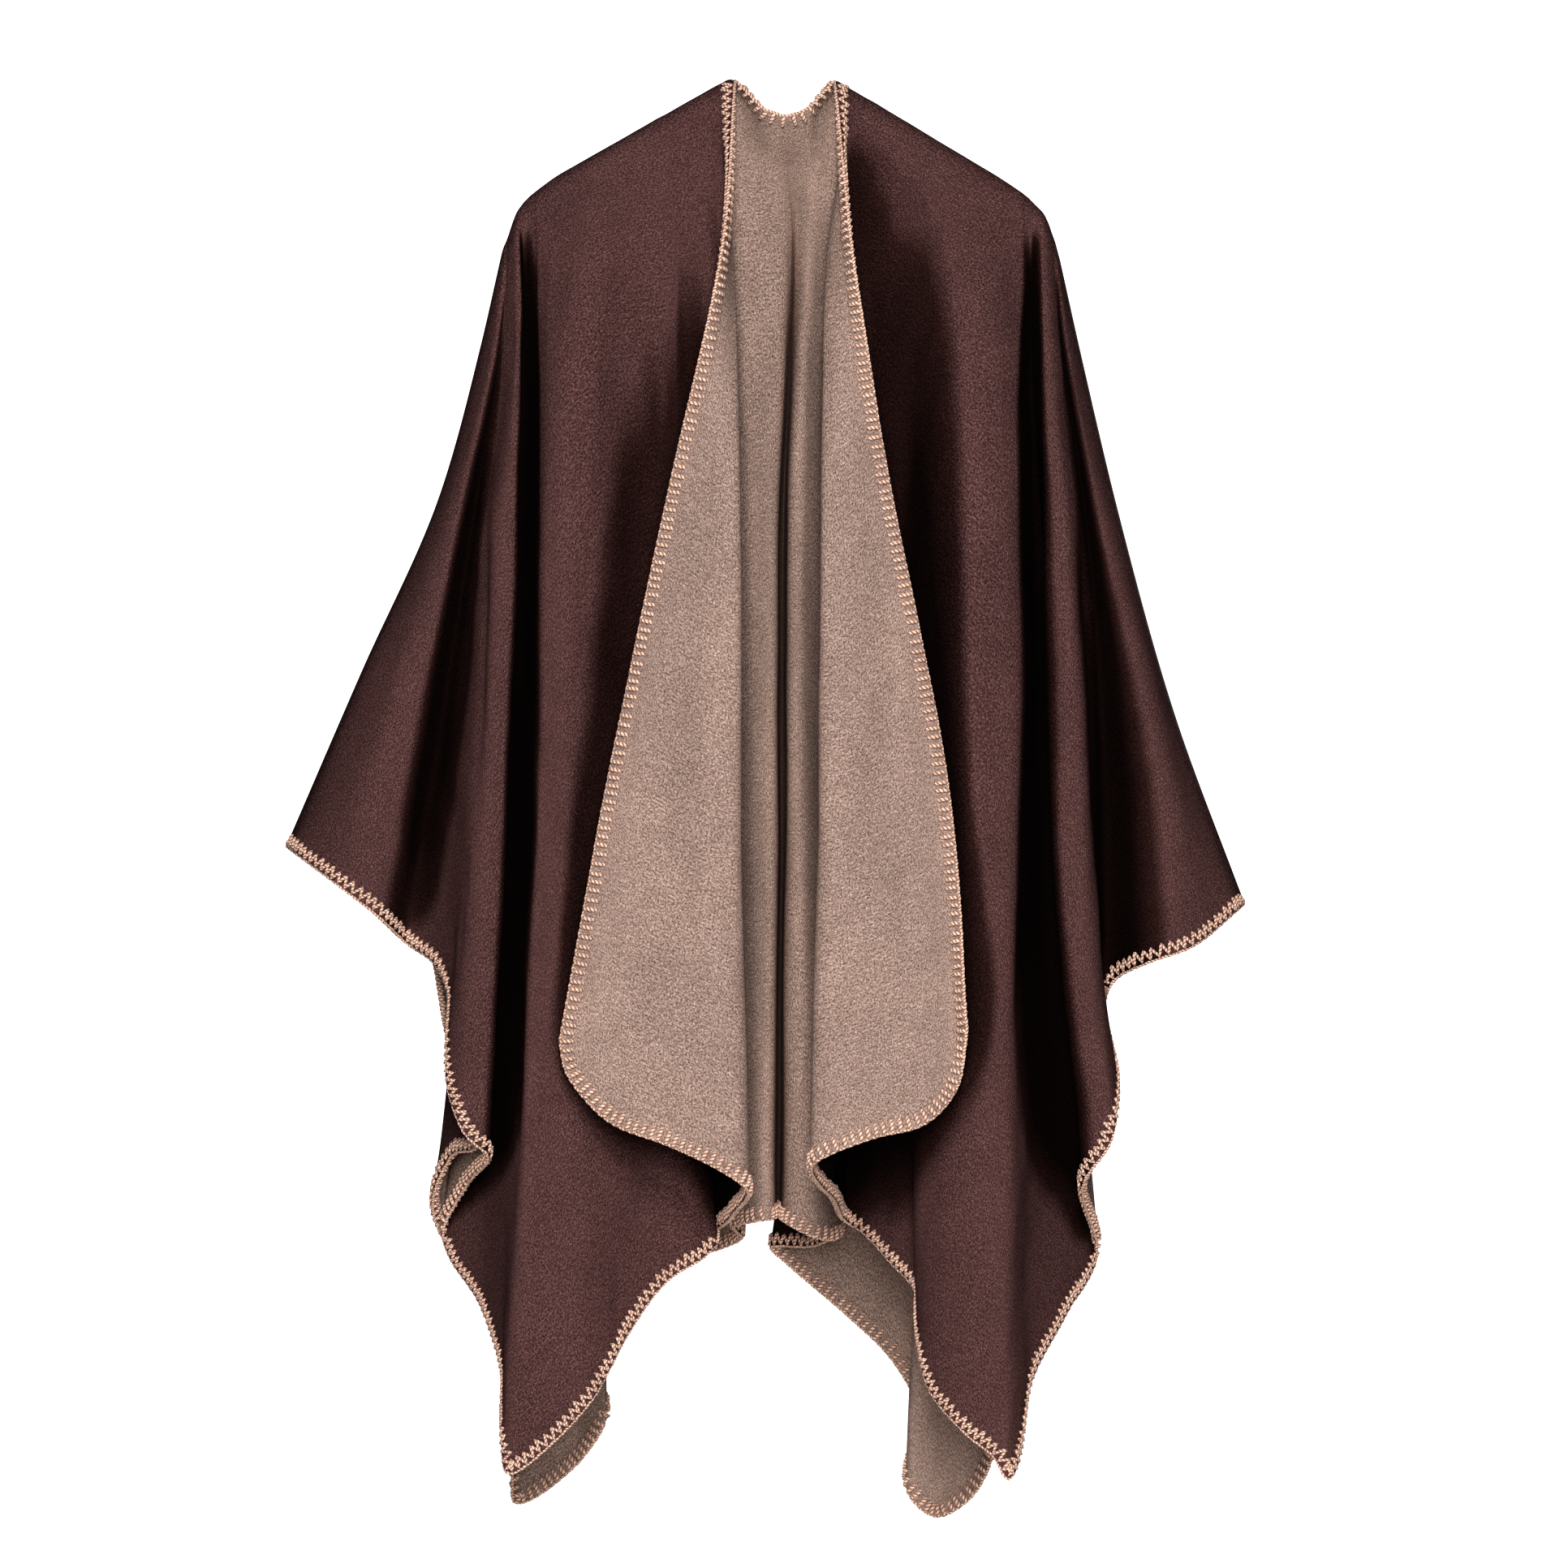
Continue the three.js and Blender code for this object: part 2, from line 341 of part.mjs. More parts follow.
// Directions square to the cloth; along the fold they lie in the plane that divides front from back
function gridNormals(grid, facing, foldColumns, foldRow) {
  const wide = grid.length - 1;
  const long = grid[0].length - 1;
  return grid.map((line, i) =>
    line.map((point, j) => {
      const along = runThrough(grid[i][Math.max(j - 1, 0)], point, grid[i][Math.min(j + 1, long)]);
      const across = runThrough(grid[Math.max(i - 1, 0)][j], point, grid[Math.min(i + 1, wide)][j]);
      const onFold = foldColumns.includes(i) || (j === 0 && foldRow(i));
      if (!onFold) {
        return new THREE.Vector3().crossVectors(across, along).normalize().multiplyScalar(facing);
      }
      const run = foldColumns.includes(i) && j > 0 ? along : across;
      run.y = 0;
      const out = new THREE.Vector3(run.z, 0, -run.x).normalize();
      const middle = new THREE.Vector3(0, 0, -500).sub(point);
      if (out.dot(middle) > 0) out.negate();
      return out;
    }),
  );
}

// A closed wall of even thickness round the grid
function wallGeometry(grid, normals, flip) {
  const wide = grid.length;
  const long = grid[0].length;
  const positions = [];
  for (const face of [WALL / 2, -WALL / 2]) {
    for (let i = 0; i < wide; i += 1) {
      for (let j = 0; j < long; j += 1) {
        const p = grid[i][j].clone().addScaledVector(normals[i][j], face);
        positions.push(p.x, p.y, p.z);
      }
    }
  }
  const index = [];
  const outer = (i, j) => i * long + j;
  const inner = (i, j) => wide * long + i * long + j;
  const quad = (a, b, c, d) => (flip ? index.push(a, c, b, a, d, c) : index.push(a, b, c, a, c, d));
  for (let i = 0; i < wide - 1; i += 1) {
    for (let j = 0; j < long - 1; j += 1) {
      quad(outer(i, j), outer(i + 1, j), outer(i + 1, j + 1), outer(i, j + 1));
      quad(inner(i, j), inner(i, j + 1), inner(i + 1, j + 1), inner(i + 1, j));
    }
    quad(outer(i, 0), inner(i, 0), inner(i + 1, 0), outer(i + 1, 0));
    quad(outer(i, long - 1), outer(i + 1, long - 1), inner(i + 1, long - 1), inner(i, long - 1));
  }
  for (let j = 0; j < long - 1; j += 1) {
    quad(outer(0, j), outer(0, j + 1), inner(0, j + 1), inner(0, j));
    quad(outer(wide - 1, j), inner(wide - 1, j), inner(wide - 1, j + 1), outer(wide - 1, j + 1));
  }
  const geometry = new THREE.BufferGeometry();
  geometry.setAttribute("position", new THREE.Float32BufferAttribute(positions, 3));
  geometry.setIndex(index);
  geometry.computeVertexNormals();
  return geometry;
}

const outerFace = new THREE.MeshStandardMaterial({ color: 0x4a2f31, roughness: 0.95 });

function panel(name, table, side, mirrored, foldColumns, foldRow) {
  const grid = panelGrid(table, side);
  const normals = gridNormals(grid, mirrored ? -1 : 1, foldColumns(grid.length - 1), foldRow);
  const mesh = new THREE.Mesh(wallGeometry(grid, normals, mirrored), outerFace);
  mesh.name = name;
  return mesh;
}

const group = new THREE.Group();
group.name = "poncho";
const NECK_FROM = back.findIndex((row) => row.thread === "left ridge") * STEPS_BETWEEN_THREADS;
const NECK_TO = back.findIndex((row) => row.thread === "right ridge front") * STEPS_BETWEEN_THREADS;
group.add(panel("front_left", leftFront, -1, false, (last) => [last], () => true));
group.add(panel("front_right", rightFront, -1, true, (last) => [last], () => true));
group.add(panel("back", back, 1, false, (last) => [0, last], (i) => i <= NECK_FROM || i >= NECK_TO));

export default group;
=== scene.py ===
import bpy
import numpy as np
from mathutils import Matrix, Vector
from mathutils.bvhtree import BVHTree


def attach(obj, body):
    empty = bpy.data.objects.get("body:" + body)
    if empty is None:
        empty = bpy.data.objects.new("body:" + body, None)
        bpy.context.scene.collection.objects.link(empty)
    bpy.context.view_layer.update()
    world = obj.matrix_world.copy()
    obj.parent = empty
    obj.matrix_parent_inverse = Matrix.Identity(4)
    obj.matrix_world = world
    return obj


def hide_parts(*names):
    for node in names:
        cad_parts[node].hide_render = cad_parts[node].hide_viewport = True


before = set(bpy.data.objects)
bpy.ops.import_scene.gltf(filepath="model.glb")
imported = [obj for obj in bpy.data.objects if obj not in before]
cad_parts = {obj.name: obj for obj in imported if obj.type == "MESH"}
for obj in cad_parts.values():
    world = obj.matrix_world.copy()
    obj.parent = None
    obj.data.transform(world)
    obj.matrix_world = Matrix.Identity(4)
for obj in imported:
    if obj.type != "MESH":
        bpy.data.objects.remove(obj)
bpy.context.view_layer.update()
dice = np.random.default_rng(17)

# Sizes in millimetres on the drawing grid of the solids
GRID = 0.54
GRID_CENTRE = 967
GRID_TOP = 100
STATION = (0, 0.15, 0.4, 0.7, 1)
FOLD_ROLL = 12
DIVIDE_REACH = 60
NECK_ROLL = 55
NECK_BACK = 3
WALL = 2.0
NECK_HALF = 33.5
INSIDE = (0, 0, -500)
ON_FOLD = 1e-6
LEAST_LENGTH = 1e-9

# Points along each thread, closer where the cloth turns over the fold, and between threads
ROWS = np.concatenate([[0, 0.0007, 0.002, 0.0042, 0.0075, 0.012], np.linspace(0.018, 1, 104)])
STEPS_BETWEEN_THREADS = 5

# Where a fold is tight the wall is thinner: share of the fold's radius and least half wall.
# The relief is less there too, over a number of columns to each side.
TURN_ROOM = 0.6
LEAST_TURN = 1e-6
THINNEST_HALF = 0.12
COLUMNS_AROUND_TURN = 2

# How shut in the cloth is, painted into its colour as shade in the folds: rays from a point,
# their reach and start in mm, their lean away from the cloth, what a hit at the end of a ray
# takes off, and the columns and rows between the points that are tried
SHELTER_RAYS = 22
SHELTER_REACH = 140.0
SHELTER_START = 1.5
SHELTER_LEAN = 1.02
SHELTER_FADE = 0.5
SHELTER_COLUMNS = 2
SHELTER_ROWS = 3
SMOOTHINGS = 3

# Yarn of the edge: radius, spacing and depth of the stitches in mm, their unevenness, how
# high the yarn rests as a share of its radius, and how near the cloth has to be to hold it
YARN = 1.12
STITCH_PITCH = 5.9
STITCH_DEPTH = 8.0
UNEVEN_PITCH = 0.16
UNEVEN_DEPTH = 0.1
UNEVEN_LEAN = 0.35
SPARE_SHARE = 1.3
SPARE_STITCHES = 4
LAST_GAP = 0.4
YARN_REST = 0.75
EDGE_DEPTH = 0.5
NEAR_CLOTH = 4
LOOP_THICKNESS = 0.94
LOOP_SIDES = 6
NECK_ROW = 5

# The loop outside, point by point: mm along, share of the way to the next bar, share of the
# lean, mm and share of the stitch's depth, and height over the yarn's resting place
LOOP = np.array([
    (-0.5, 0, 1, -1.1, 1, 0.45),
    (0, 0, 1, 0, 1, -0.35),
    (0.5, 0, 1, -1.1, 1, 0.45),
    (0, 0.34, 0, 0, 0.38, 0.2),
    (0, 0.5, 0, 0, 0.1, -0.1),
    (0, 0.66, 0, 0, 0.38, 0.2),
])

# The bar inside, point by point: share of the lean, share of the stitch's depth, share of the
# yarn's resting height, height in mm, and thickness
BAR = np.array([
    (1, 1.06, 0, -0.2, 0.9),
    (0.8, 0.9, -1, -0.15, 1.26),
    (0.3, 0.5, -1, -0.45, 1.32),
    (-0.4, 0.12, -1, -0.2, 1.26),
    (-0.8, -0.05, -0.5, 0, 1),
])

# The strand on the edge: mm outside it, sway and lift in mm, thickness, points in a stitch
STRAND_OUT = 0.25
STRAND_SWAY = 0.22
STRAND_LIFT = 0.18
STRAND_TURN = 3.1
STRAND_THICKNESS = 0.95
STRAND_POINTS = 4
STRAND_SIDES = 7

# Soft unevenness of hanging cloth: length and height of waves in mm, and how many. Each wave
# has its own direction, stretch and start. Creases fade over the last share of their line.
SOFT_WAVES = ((170, 0.55, 4), (75, 0.22, 5), (33, 0.07, 6))
WAVE_SLANT = 0.45
WAVE_START = 9
CREASE_END = 0.06
wave_draws = dice.uniform([0, 0.8, 0], [1, 1.25, 1], (8, 3))

# The camera: side of the square frame in grid steps, sensor in mm, and how far off in metres
FRAME_SIDE = 1932
SENSOR = 36
CAMERA_FAR = 14.0
CAMERA_BACK = 0.03

# Floor in metres
FLOOR_HEIGHT = -1.45
FLOOR_RADIUS = 1.3
FLOOR_SIDES = 96

# Soft lights: name, place, what they point at, width and height in metres, power in watts
LIGHTS = (
    ("front", (0, -4.0, -0.2), (0, 0, -0.5), (0.36, 1.5), 92),
    ("above", (0, -3.0, 1.0), (0, 0, -0.4), (0.40, 0.8), 36),
    ("behind", (0.4, 4.0, 0.4), (0, 0, -0.4), (1.0, 1.6), 140),
    ("left_fill", (-2.2, -3.6, 0.9), (0, 0, -0.5), (0.8, 1.4), 13),
    ("right_fill", (2.2, -3.6, 0.9), (0, 0, -0.5), (0.8, 1.4), 16),
)

# Threads of the cloth: name, where it ends on the flat cut, then across, down and depth
# at the fold over shoulder and arm, chest, waist, hip and edge
LEFT_FRONT = (
    ("slit edge", (0, 700),
     (905, 98, 0), (893, 284, -60), (826, 604, -76), (752, 960, -96), (692, 1282, -112)),
    ("flap corner", (14, 729),
     (903, 99, 0), (894, 287, -58), (833, 611, -78), (762, 972, -99), (704, 1326, -114)),
    ("flap hem", (50, 741),
     (899, 100, 0), (896, 293, -53), (848, 628, -84), (787, 1000, -106), (753, 1379, -118)),
    ("flap middle", (90, 741),
     (894, 101, 0), (898, 297, -47), (874, 648, -92), (840, 1028, -116), (822, 1406, -125)),
    ("flap by fold", (125, 741),
     (888, 103, 0), (900, 300, -40), (897, 663, -97), (888, 1048, -121), (884, 1435, -128)),
    ("flap fold", (150, 741),
     (880, 107, 0), (901, 302, -34), (911, 670, -93), (914, 1053, -113), (921, 1463, -117)),
    ("under fold", (188, 741),
     (866, 115, 0), (890, 302, -28), (902, 669, -70), (902, 1053, -82), (906, 1489, -78)),
    ("inner layer", (236, 741),
     (848, 125, 0), (870, 301, -26), (882, 667, -46), (880, 1052, -46), (887, 1511, -34)),
    ("inner back", (296, 741),
     (834, 133, 0), (852, 300, -22), (858, 667, -20), (852, 1053, -8), (840, 1535, 8)),
    ("inner turn", (326, 741),
     (822, 140, 0), (838, 301, -19), (840, 669, -11), (826, 1059, 4), (810, 1549, 22)),
    ("tuck turn", (346, 741),
     (816, 143, 0), (832, 302, -18), (834, 673, -10), (820, 1068, -7), (803, 1560, 4)),
    ("tuck middle", (370, 741),
     (810, 146, 0), (826, 303, -18), (829, 677, -11), (832, 1079, -20), (836, 1564, -16)),
    ("tuck lip", (404, 741),
     (798, 153, 0), (812, 306, -18), (824, 687, -12), (850, 1089, -34), (881, 1531, -40)),
    ("lip face", (424, 741),
     (784, 161, 0), (796, 311, -19), (808, 699, -15), (835, 1107, -42), (864, 1549, -50)),
    ("panel", (462, 741),
     (765, 172, 0), (770, 321, -24), (776, 716, -26), (785, 1138, -50), (815, 1582, -64)),
    ("panel middle", (514, 741),
     (740, 186, 0), (740, 338, -34), (738, 740, -50), (738, 1184, -70), (764, 1660, -90)),
    ("lit ridge", (553, 741),
     (712, 202, 0), (706, 365, -40), (702, 785, -66), (700, 1240, -87), (729, 1720, -108)),
    ("ridge side", (592, 741),
     (686, 217, 0), (682, 410, -39), (681, 835, -68), (671, 1295, -92), (683, 1771, -116)),
    ("corner ridge", (625, 737),
     (664, 233, 0), (669, 450, -35), (668, 872, -67), (649, 1342, -95), (632, 1809, -119)),
    ("past the corner", (648, 705),
     (659, 237, 0), (664, 446, -26), (660, 858, -51), (641, 1322, -80), (619, 1775, -112)),
    ("valley side", (650, 645),
     (654, 241, 0), (657, 440, -17), (651, 835, -30), (631, 1285, -60), (618, 1690, -84)),
    ("valley floor", (650, 575),
     (650, 245, 0), (650, 432, -10), (639, 800, -12), (611, 1230, -27), (594, 1608, -42)),
    ("valley back", (650, 520),
     (646, 249, 0), (646, 426, -8), (629, 770, -5), (591, 1180, -6), (556, 1551, -12)),
    ("valley turn", (650, 485),
     (643, 253, 0), (643, 420, -10), (625, 745, -7), (587, 1135, -6), (547, 1512, -8)),
    ("under layer", (650, 450),
     (640, 257, 0), (642, 414, -16), (631, 722, -22), (607, 1100, -34), (577, 1456, -42)),
    ("side lip", (650, 415),
     (637, 262, 0), (643, 408, -26), (637, 706, -46), (621, 1075, -74), (603, 1424, -84)),
    ("side ridge", (650, 378),
     (635, 267, 0), (638, 409, -29), (625, 690, -52), (603, 1045, -82), (573, 1391, -92)),
    ("ridge outside", (650, 328),
     (633, 272, 0), (634, 410, -27), (614, 672, -50), (587, 1000, -76), (551, 1325, -80)),
    ("faint crease", (650, 276),
     (631, 278, 0), (630, 411, -24), (606, 655, -43), (575, 955, -58), (554, 1235, -60)),
    ("arm rise", (650, 232),
     (629, 284, 0), (625, 412, -20), (597, 640, -30), (561, 930, -34), (536, 1188, -38)),
    ("arm hollow", (650, 184),
     (627, 291, 0), (619, 414, -15), (585, 625, -17), (541, 905, -14), (500, 1161, -14)),
    ("arm panel", (650, 134),
     (624, 298, 0), (612, 416, -18), (571, 618, -30), (519, 880, -36), (467, 1128, -38)),
    ("arm front", (650, 72),
     (621, 305, 0), (603, 420, -12), (556, 612, -22), (482, 850, -30), (412, 1086, -36)),
    ("arm fold", (650, 0),
     (619, 312, 0), (593, 426, 0), (541, 614, 0), (446, 828, 0), (353, 1043, 0)),
)

RIGHT_FRONT = (
    ("slit edge", (0, 700),
     (1029, 99, 0), (1048, 290, -56), (1093, 588, -78), (1164, 952, -98), (1191, 1268, -118)),
    ("flap corner", (14, 729),
     (1031, 100, 0), (1046, 292, -54), (1087, 598, -80), (1153, 964, -101), (1178, 1336, -114)),
    ("flap hem", (50, 741),
     (1036, 102, 0), (1041, 298, -50), (1072, 622, -86), (1126, 992, -107), (1138, 1381, -122)),
    ("flap middle", (90, 741),
     (1041, 105, 0), (1034, 302, -46), (1048, 645, -94), (1080, 1022, -116), (1078, 1397, -127)),
    ("flap by fold", (125, 741),
     (1047, 109, 0), (1026, 304, -41), (1026, 660, -97), (1034, 1040, -120), (1024, 1417, -128)),
    ("flap fold", (148, 741),
     (1054, 113, 0), (1021, 306, -34), (1014, 668, -93), (1010, 1046, -112), (1000, 1435, -117)),
    ("under fold", (188, 741),
     (1064, 119, 0), (1030, 308, -26), (1022, 670, -72), (1019, 1048, -80), (1012, 1461, -78)),
    ("inner layer", (240, 741),
     (1077, 126, 0), (1050, 312, -21), (1042, 674, -46), (1036, 1056, -42), (1029, 1482, -34)),
    ("inner back", (292, 741),
     (1090, 134, 0), (1072, 317, -19), (1062, 682, -18), (1050, 1066, -8), (1040, 1504, 10)),
    ("inner face", (318, 741),
     (1105, 143, 0), (1092, 322, -19), (1084, 692, -13), (1075, 1085, -8), (1066, 1520, 3)),
    ("inner rise", (362, 741),
     (1122, 153, 0), (1112, 328, -20), (1104, 702, -14), (1102, 1105, -17), (1100, 1556, -16)),
    ("step back", (405, 741),
     (1140, 164, 0), (1130, 336, -23), (1119, 716, -18), (1120, 1130, -32), (1131, 1594, -38)),
    ("step front", (455, 741),
     (1158, 175, 0), (1147, 344, -28), (1130, 732, -28), (1127, 1162, -52), (1131, 1652, -80)),
    ("lower ridge", (513, 741),
     (1180, 188, 0), (1171, 357, -36), (1156, 757, -50), (1148, 1205, -72), (1147, 1712, -100)),
    ("ridge middle", (560, 741),
     (1205, 203, 0), (1200, 381, -42), (1193, 802, -75), (1188, 1258, -93), (1186, 1758, -117)),
    ("ridge side", (596, 741),
     (1230, 218, 0), (1229, 410, -40), (1229, 842, -72), (1220, 1302, -97), (1222, 1787, -123)),
    ("corner ridge", (625, 737),
     (1257, 236, 0), (1252, 450, -34), (1253, 882, -66), (1243, 1346, -95), (1240, 1815, -126)),
    ("past the corner", (648, 705),
     (1262, 240, 0), (1259, 447, -25), (1262, 872, -48), (1254, 1334, -78), (1254, 1785, -112)),
    ("valley side", (650, 645),
     (1266, 243, 0), (1264, 442, -16), (1272, 855, -26), (1270, 1306, -50), (1267, 1700, -84)),
    ("valley floor", (650, 570),
     (1270, 247, 0), (1268, 435, -11), (1283, 826, -11), (1296, 1262, -18), (1311, 1621, -46)),
    ("valley turn", (650, 490),
     (1274, 251, 0), (1273, 428, -11), (1295, 796, -5), (1324, 1210, -6), (1352, 1545, -8)),
    ("side lip", (650, 412),
     (1282, 259, 0), (1282, 409, -26), (1286, 750, -44), (1301, 1120, -66), (1333, 1462, -72)),
    ("side ridge", (650, 362),
     (1286, 264, 0), (1288, 404, -29), (1300, 724, -54), (1320, 1075, -79), (1366, 1404, -88)),
    ("ridge outside", (650, 305),
     (1289, 270, 0), (1294, 403, -27), (1318, 694, -52), (1341, 1030, -72), (1372, 1338, -66)),
    ("ridge edge", (650, 250),
     (1292, 277, 0), (1300, 406, -22), (1330, 672, -34), (1347, 980, -32), (1357, 1262, -24)),
    ("arm hollow", (650, 205),
     (1295, 286, 0), (1306, 411, -15), (1340, 660, -16), (1362, 940, -14), (1370, 1211, -14)),
    ("arm panel", (650, 145),
     (1299, 297, 0), (1313, 419, -18), (1351, 650, -27), (1394, 912, -34), (1412, 1186, -36)),
    ("arm front", (650, 75),
     (1302, 308, 0), (1321, 430, -12), (1366, 646, -22), (1429, 896, -30), (1472, 1163, -34)),
    ("arm fold", (650, 0),
     (1305, 319, 0), (1332, 440, 0), (1380, 642, 0), (1447, 881, 0), (1533, 1114, 0)),
)

BACK = (
    ("left arm fold", (-650, 0),
     (619, 312, 0), (593, 426, 0), (541, 614, 0), (446, 828, 0), (353, 1043, 0)),
    ("left arm back", (-650, 75),
     (622, 303, 0), (603, 420, 12), (556, 612, 22), (482, 848, 32), (407, 1072, 40)),
    ("left arm panel", (-650, 140),
     (625, 295, 0), (612, 416, 18), (572, 618, 32), (518, 878, 42), (457, 1104, 46)),
    ("left arm hollow", (-650, 195),
     (629, 284, 0), (620, 413, 17), (589, 630, 22), (543, 905, 22), (497, 1138, 22)),
    ("left arm rise", (-650, 260),
     (632, 275, 0), (626, 411, 23), (601, 650, 33), (560, 940, 24), (531, 1170, 22)),
    ("left side ridge", (-650, 330),
     (635, 267, 0), (633, 410, 28), (611, 676, 28), (564, 1000, -4), (556, 1290, -72)),
    ("left side lip", (-650, 392),
     (638, 261, 0), (639, 410, 29), (619, 705, 26), (573, 1065, -18), (590, 1404, -100)),
    ("left under layer", (-650, 432),
     (641, 256, 0), (641, 413, 20), (622, 722, 20), (576, 1092, -14), (558, 1422, -66)),
    ("left turn", (-650, 476),
     (644, 252, 0), (642, 418, 13), (624, 742, 15), (578, 1132, -6), (533, 1476, -38)),
    ("left valley back", (-650, 515),
     (647, 248, 0), (645, 424, 10), (627, 765, 12), (584, 1175, 4), (541, 1520, -14)),
    ("left valley floor", (-650, 580),
     (651, 244, 0), (650, 430, 12), (636, 795, 16), (604, 1225, 18), (579, 1577, 8)),
    ("left valley side", (-650, 655),
     (655, 240, 0), (656, 438, 20), (648, 830, 34), (628, 1285, 56), (616, 1680, 66)),
    ("past left corner", (-649, 725),
     (659, 237, 0), (662, 444, 30), (658, 860, 57), (641, 1335, 86), (627, 1812, 92)),
    ("left corner", (-627, 762),
     (670, 230, 0), (669, 446, 36), (665, 872, 67), (651, 1360, 94), (634, 1861, 101)),
    ("left lobe", (-580, 765),
     (700, 209, 0), (692, 425, 41), (691, 845, 72), (699, 1320, 101), (698, 1822, 112)),
    ("left lobe fold", (-530, 765),
     (720, 197, 0), (715, 402, 42), (722, 815, 70), (735, 1270, 92), (744, 1756, 98)),
    ("behind left lobe", (-480, 765),
     (742, 185, 0), (738, 385, 43), (743, 790, 84), (746, 1235, 122), (724, 1706, 143)),
    ("left back turn", (-440, 765),
     (765, 172, 0), (762, 370, 45), (766, 765, 96), (766, 1195, 145), (738, 1660, 170)),
    ("left outer back", (-395, 765),
     (790, 158, 0), (788, 350, 46), (792, 740, 99), (797, 1155, 152), (790, 1602, 176)),
    ("left back", (-345, 765),
     (815, 144, 0), (815, 330, 46), (820, 715, 93), (833, 1120, 140), (842, 1561, 160)),
    ("left inner back", (-300, 765),
     (840, 129, 0), (842, 312, 44), (850, 690, 80), (866, 1090, 116), (886, 1545, 126)),
    ("left curl", (-265, 765),
     (863, 116, 0), (868, 298, 42), (880, 670, 68), (895, 1070, 93), (913, 1531, 102)),
    ("left curl front", (-240, 765),
     (885, 104, 0), (892, 285, 38), (904, 655, 56), (907, 1055, 76), (903, 1516, 84)),
    ("left ridge", (-205, 765),
     (905, 98, 0), (913, 275, 33), (929, 645, 45), (934, 1050, 56), (930, 1508, 58)),
    ("left ridge side", (-170, 765),
     (938, 130, 3), (958, 272, 34), (955, 642, 46), (954, 1048, 56), (951, 1505, 60)),
    ("valley left wall", (-130, 765),
     (953, 137, 5), (970, 272, 38), (959, 644, 70), (957, 1050, 92), (954, 1503, 108)),
    ("middle valley", (-85, 765),
     (967, 141, 6), (977, 272, 42), (965, 645, 85), (963, 1050, 110), (959, 1502, 126)),
    ("valley right wall", (-40, 765),
     (982, 138, 5), (984, 272, 38), (971, 644, 70), (969, 1050, 92), (964, 1504, 108)),
    ("right ridge side", (0, 765),
     (998, 130, 3), (994, 272, 32), (975, 642, 46), (972, 1048, 58), (969, 1509, 62)),
    ("right ridge", (30, 765),
     (1014, 113, 1), (1003, 276, 32), (992, 644, 44), (988, 1050, 52), (1000, 1526, 48)),
    ("right ridge front", (65, 765),
     (1029, 99, 0), (1014, 281, 36), (1010, 655, 58), (1010, 1058, 68), (1029, 1531, 60)),
    ("right lip", (95, 765),
     (1038, 103, 0), (1026, 288, 41), (1020, 665, 76), (1021, 1068, 88), (1037, 1524, 78)),
    ("right middle layer", (140, 765),
     (1049, 110, 0), (1040, 297, 46), (1028, 678, 93), (1010, 1080, 110), (1000, 1541, 108)),
    ("right back turn", (190, 765),
     (1062, 118, 0), (1056, 307, 49), (1042, 690, 106), (1009, 1092, 132), (951, 1543, 136)),
    ("right back", (225, 765),
     (1082, 129, 0), (1076, 320, 50), (1064, 707, 112), (1040, 1110, 144), (976, 1569, 150)),
    ("right outer back", (300, 765),
     (1110, 146, 0), (1102, 336, 50), (1096, 732, 112), (1085, 1152, 150), (1050, 1634, 164)),
    ("right back rise", (360, 765),
     (1140, 164, 0), (1130, 354, 48), (1123, 762, 106), (1117, 1198, 146), (1103, 1687, 166)),
    ("behind right lobe", (425, 765),
     (1170, 182, 0), (1158, 376, 46), (1147, 795, 97), (1144, 1248, 136), (1140, 1764, 160)),
    ("right lobe fold", (515, 765),
     (1200, 200, 0), (1186, 400, 42), (1166, 828, 76), (1143, 1295, 102), (1119, 1838, 104)),
    ("right corner", (590, 764),
     (1228, 217, 0), (1212, 425, 40), (1192, 858, 70), (1171, 1335, 95), (1150, 1876, 100)),
    ("past right corner", (645, 742),
     (1250, 231, 0), (1234, 440, 37), (1220, 876, 62), (1202, 1350, 86), (1186, 1864, 95)),
    ("right lobe side", (650, 690),
     (1260, 239, 0), (1248, 446, 32), (1240, 876, 53), (1227, 1338, 74), (1214, 1828, 86)),
    ("right valley side", (650, 635),
     (1265, 242, 0), (1258, 443, 24), (1260, 862, 32), (1255, 1312, 50), (1238, 1755, 64)),
    ("right valley floor", (650, 565),
     (1270, 246, 0), (1263, 436, 13), (1278, 832, 17), (1286, 1268, 24), (1278, 1655, 34)),
    ("right turn", (650, 500),
     (1275, 251, 0), (1269, 428, 12), (1292, 800, 12), (1317, 1212, 14), (1322, 1572, 18)),
    ("right under layer", (650, 455),
     (1279, 256, 0), (1275, 418, 19), (1289, 775, 30), (1313, 1163, 42), (1318, 1482, 48)),
    ("right side lip", (650, 405),
     (1283, 260, 0), (1281, 407, 28), (1284, 750, 48), (1298, 1118, 70), (1312, 1412, 76)),
    ("right side ridge", (650, 345),
     (1287, 266, 0), (1289, 402, 28), (1306, 712, 46), (1331, 1055, 64), (1349, 1318, 74)),
    ("right arm rise", (650, 275),
     (1291, 275, 0), (1297, 404, 23), (1327, 674, 36), (1347, 985, 44), (1349, 1214, 44)),
    ("right arm hollow", (650, 210),
     (1295, 286, 0), (1305, 410, 16), (1342, 660, 22), (1364, 935, 20), (1376, 1182, 22)),
    ("right arm panel", (650, 145),
     (1299, 297, 0), (1311, 420, 18), (1353, 650, 30), (1396, 908, 38), (1422, 1160, 42)),
    ("right arm back", (650, 72),
     (1302, 308, 0), (1321, 430, 12), (1366, 645, 22), (1430, 894, 32), (1480, 1138, 38)),
    ("right arm fold", (650, 0),
     (1305, 319, 0), (1332, 440, 0), (1380, 642, 0), (1447, 881, 0), (1533, 1114, 0)),
)

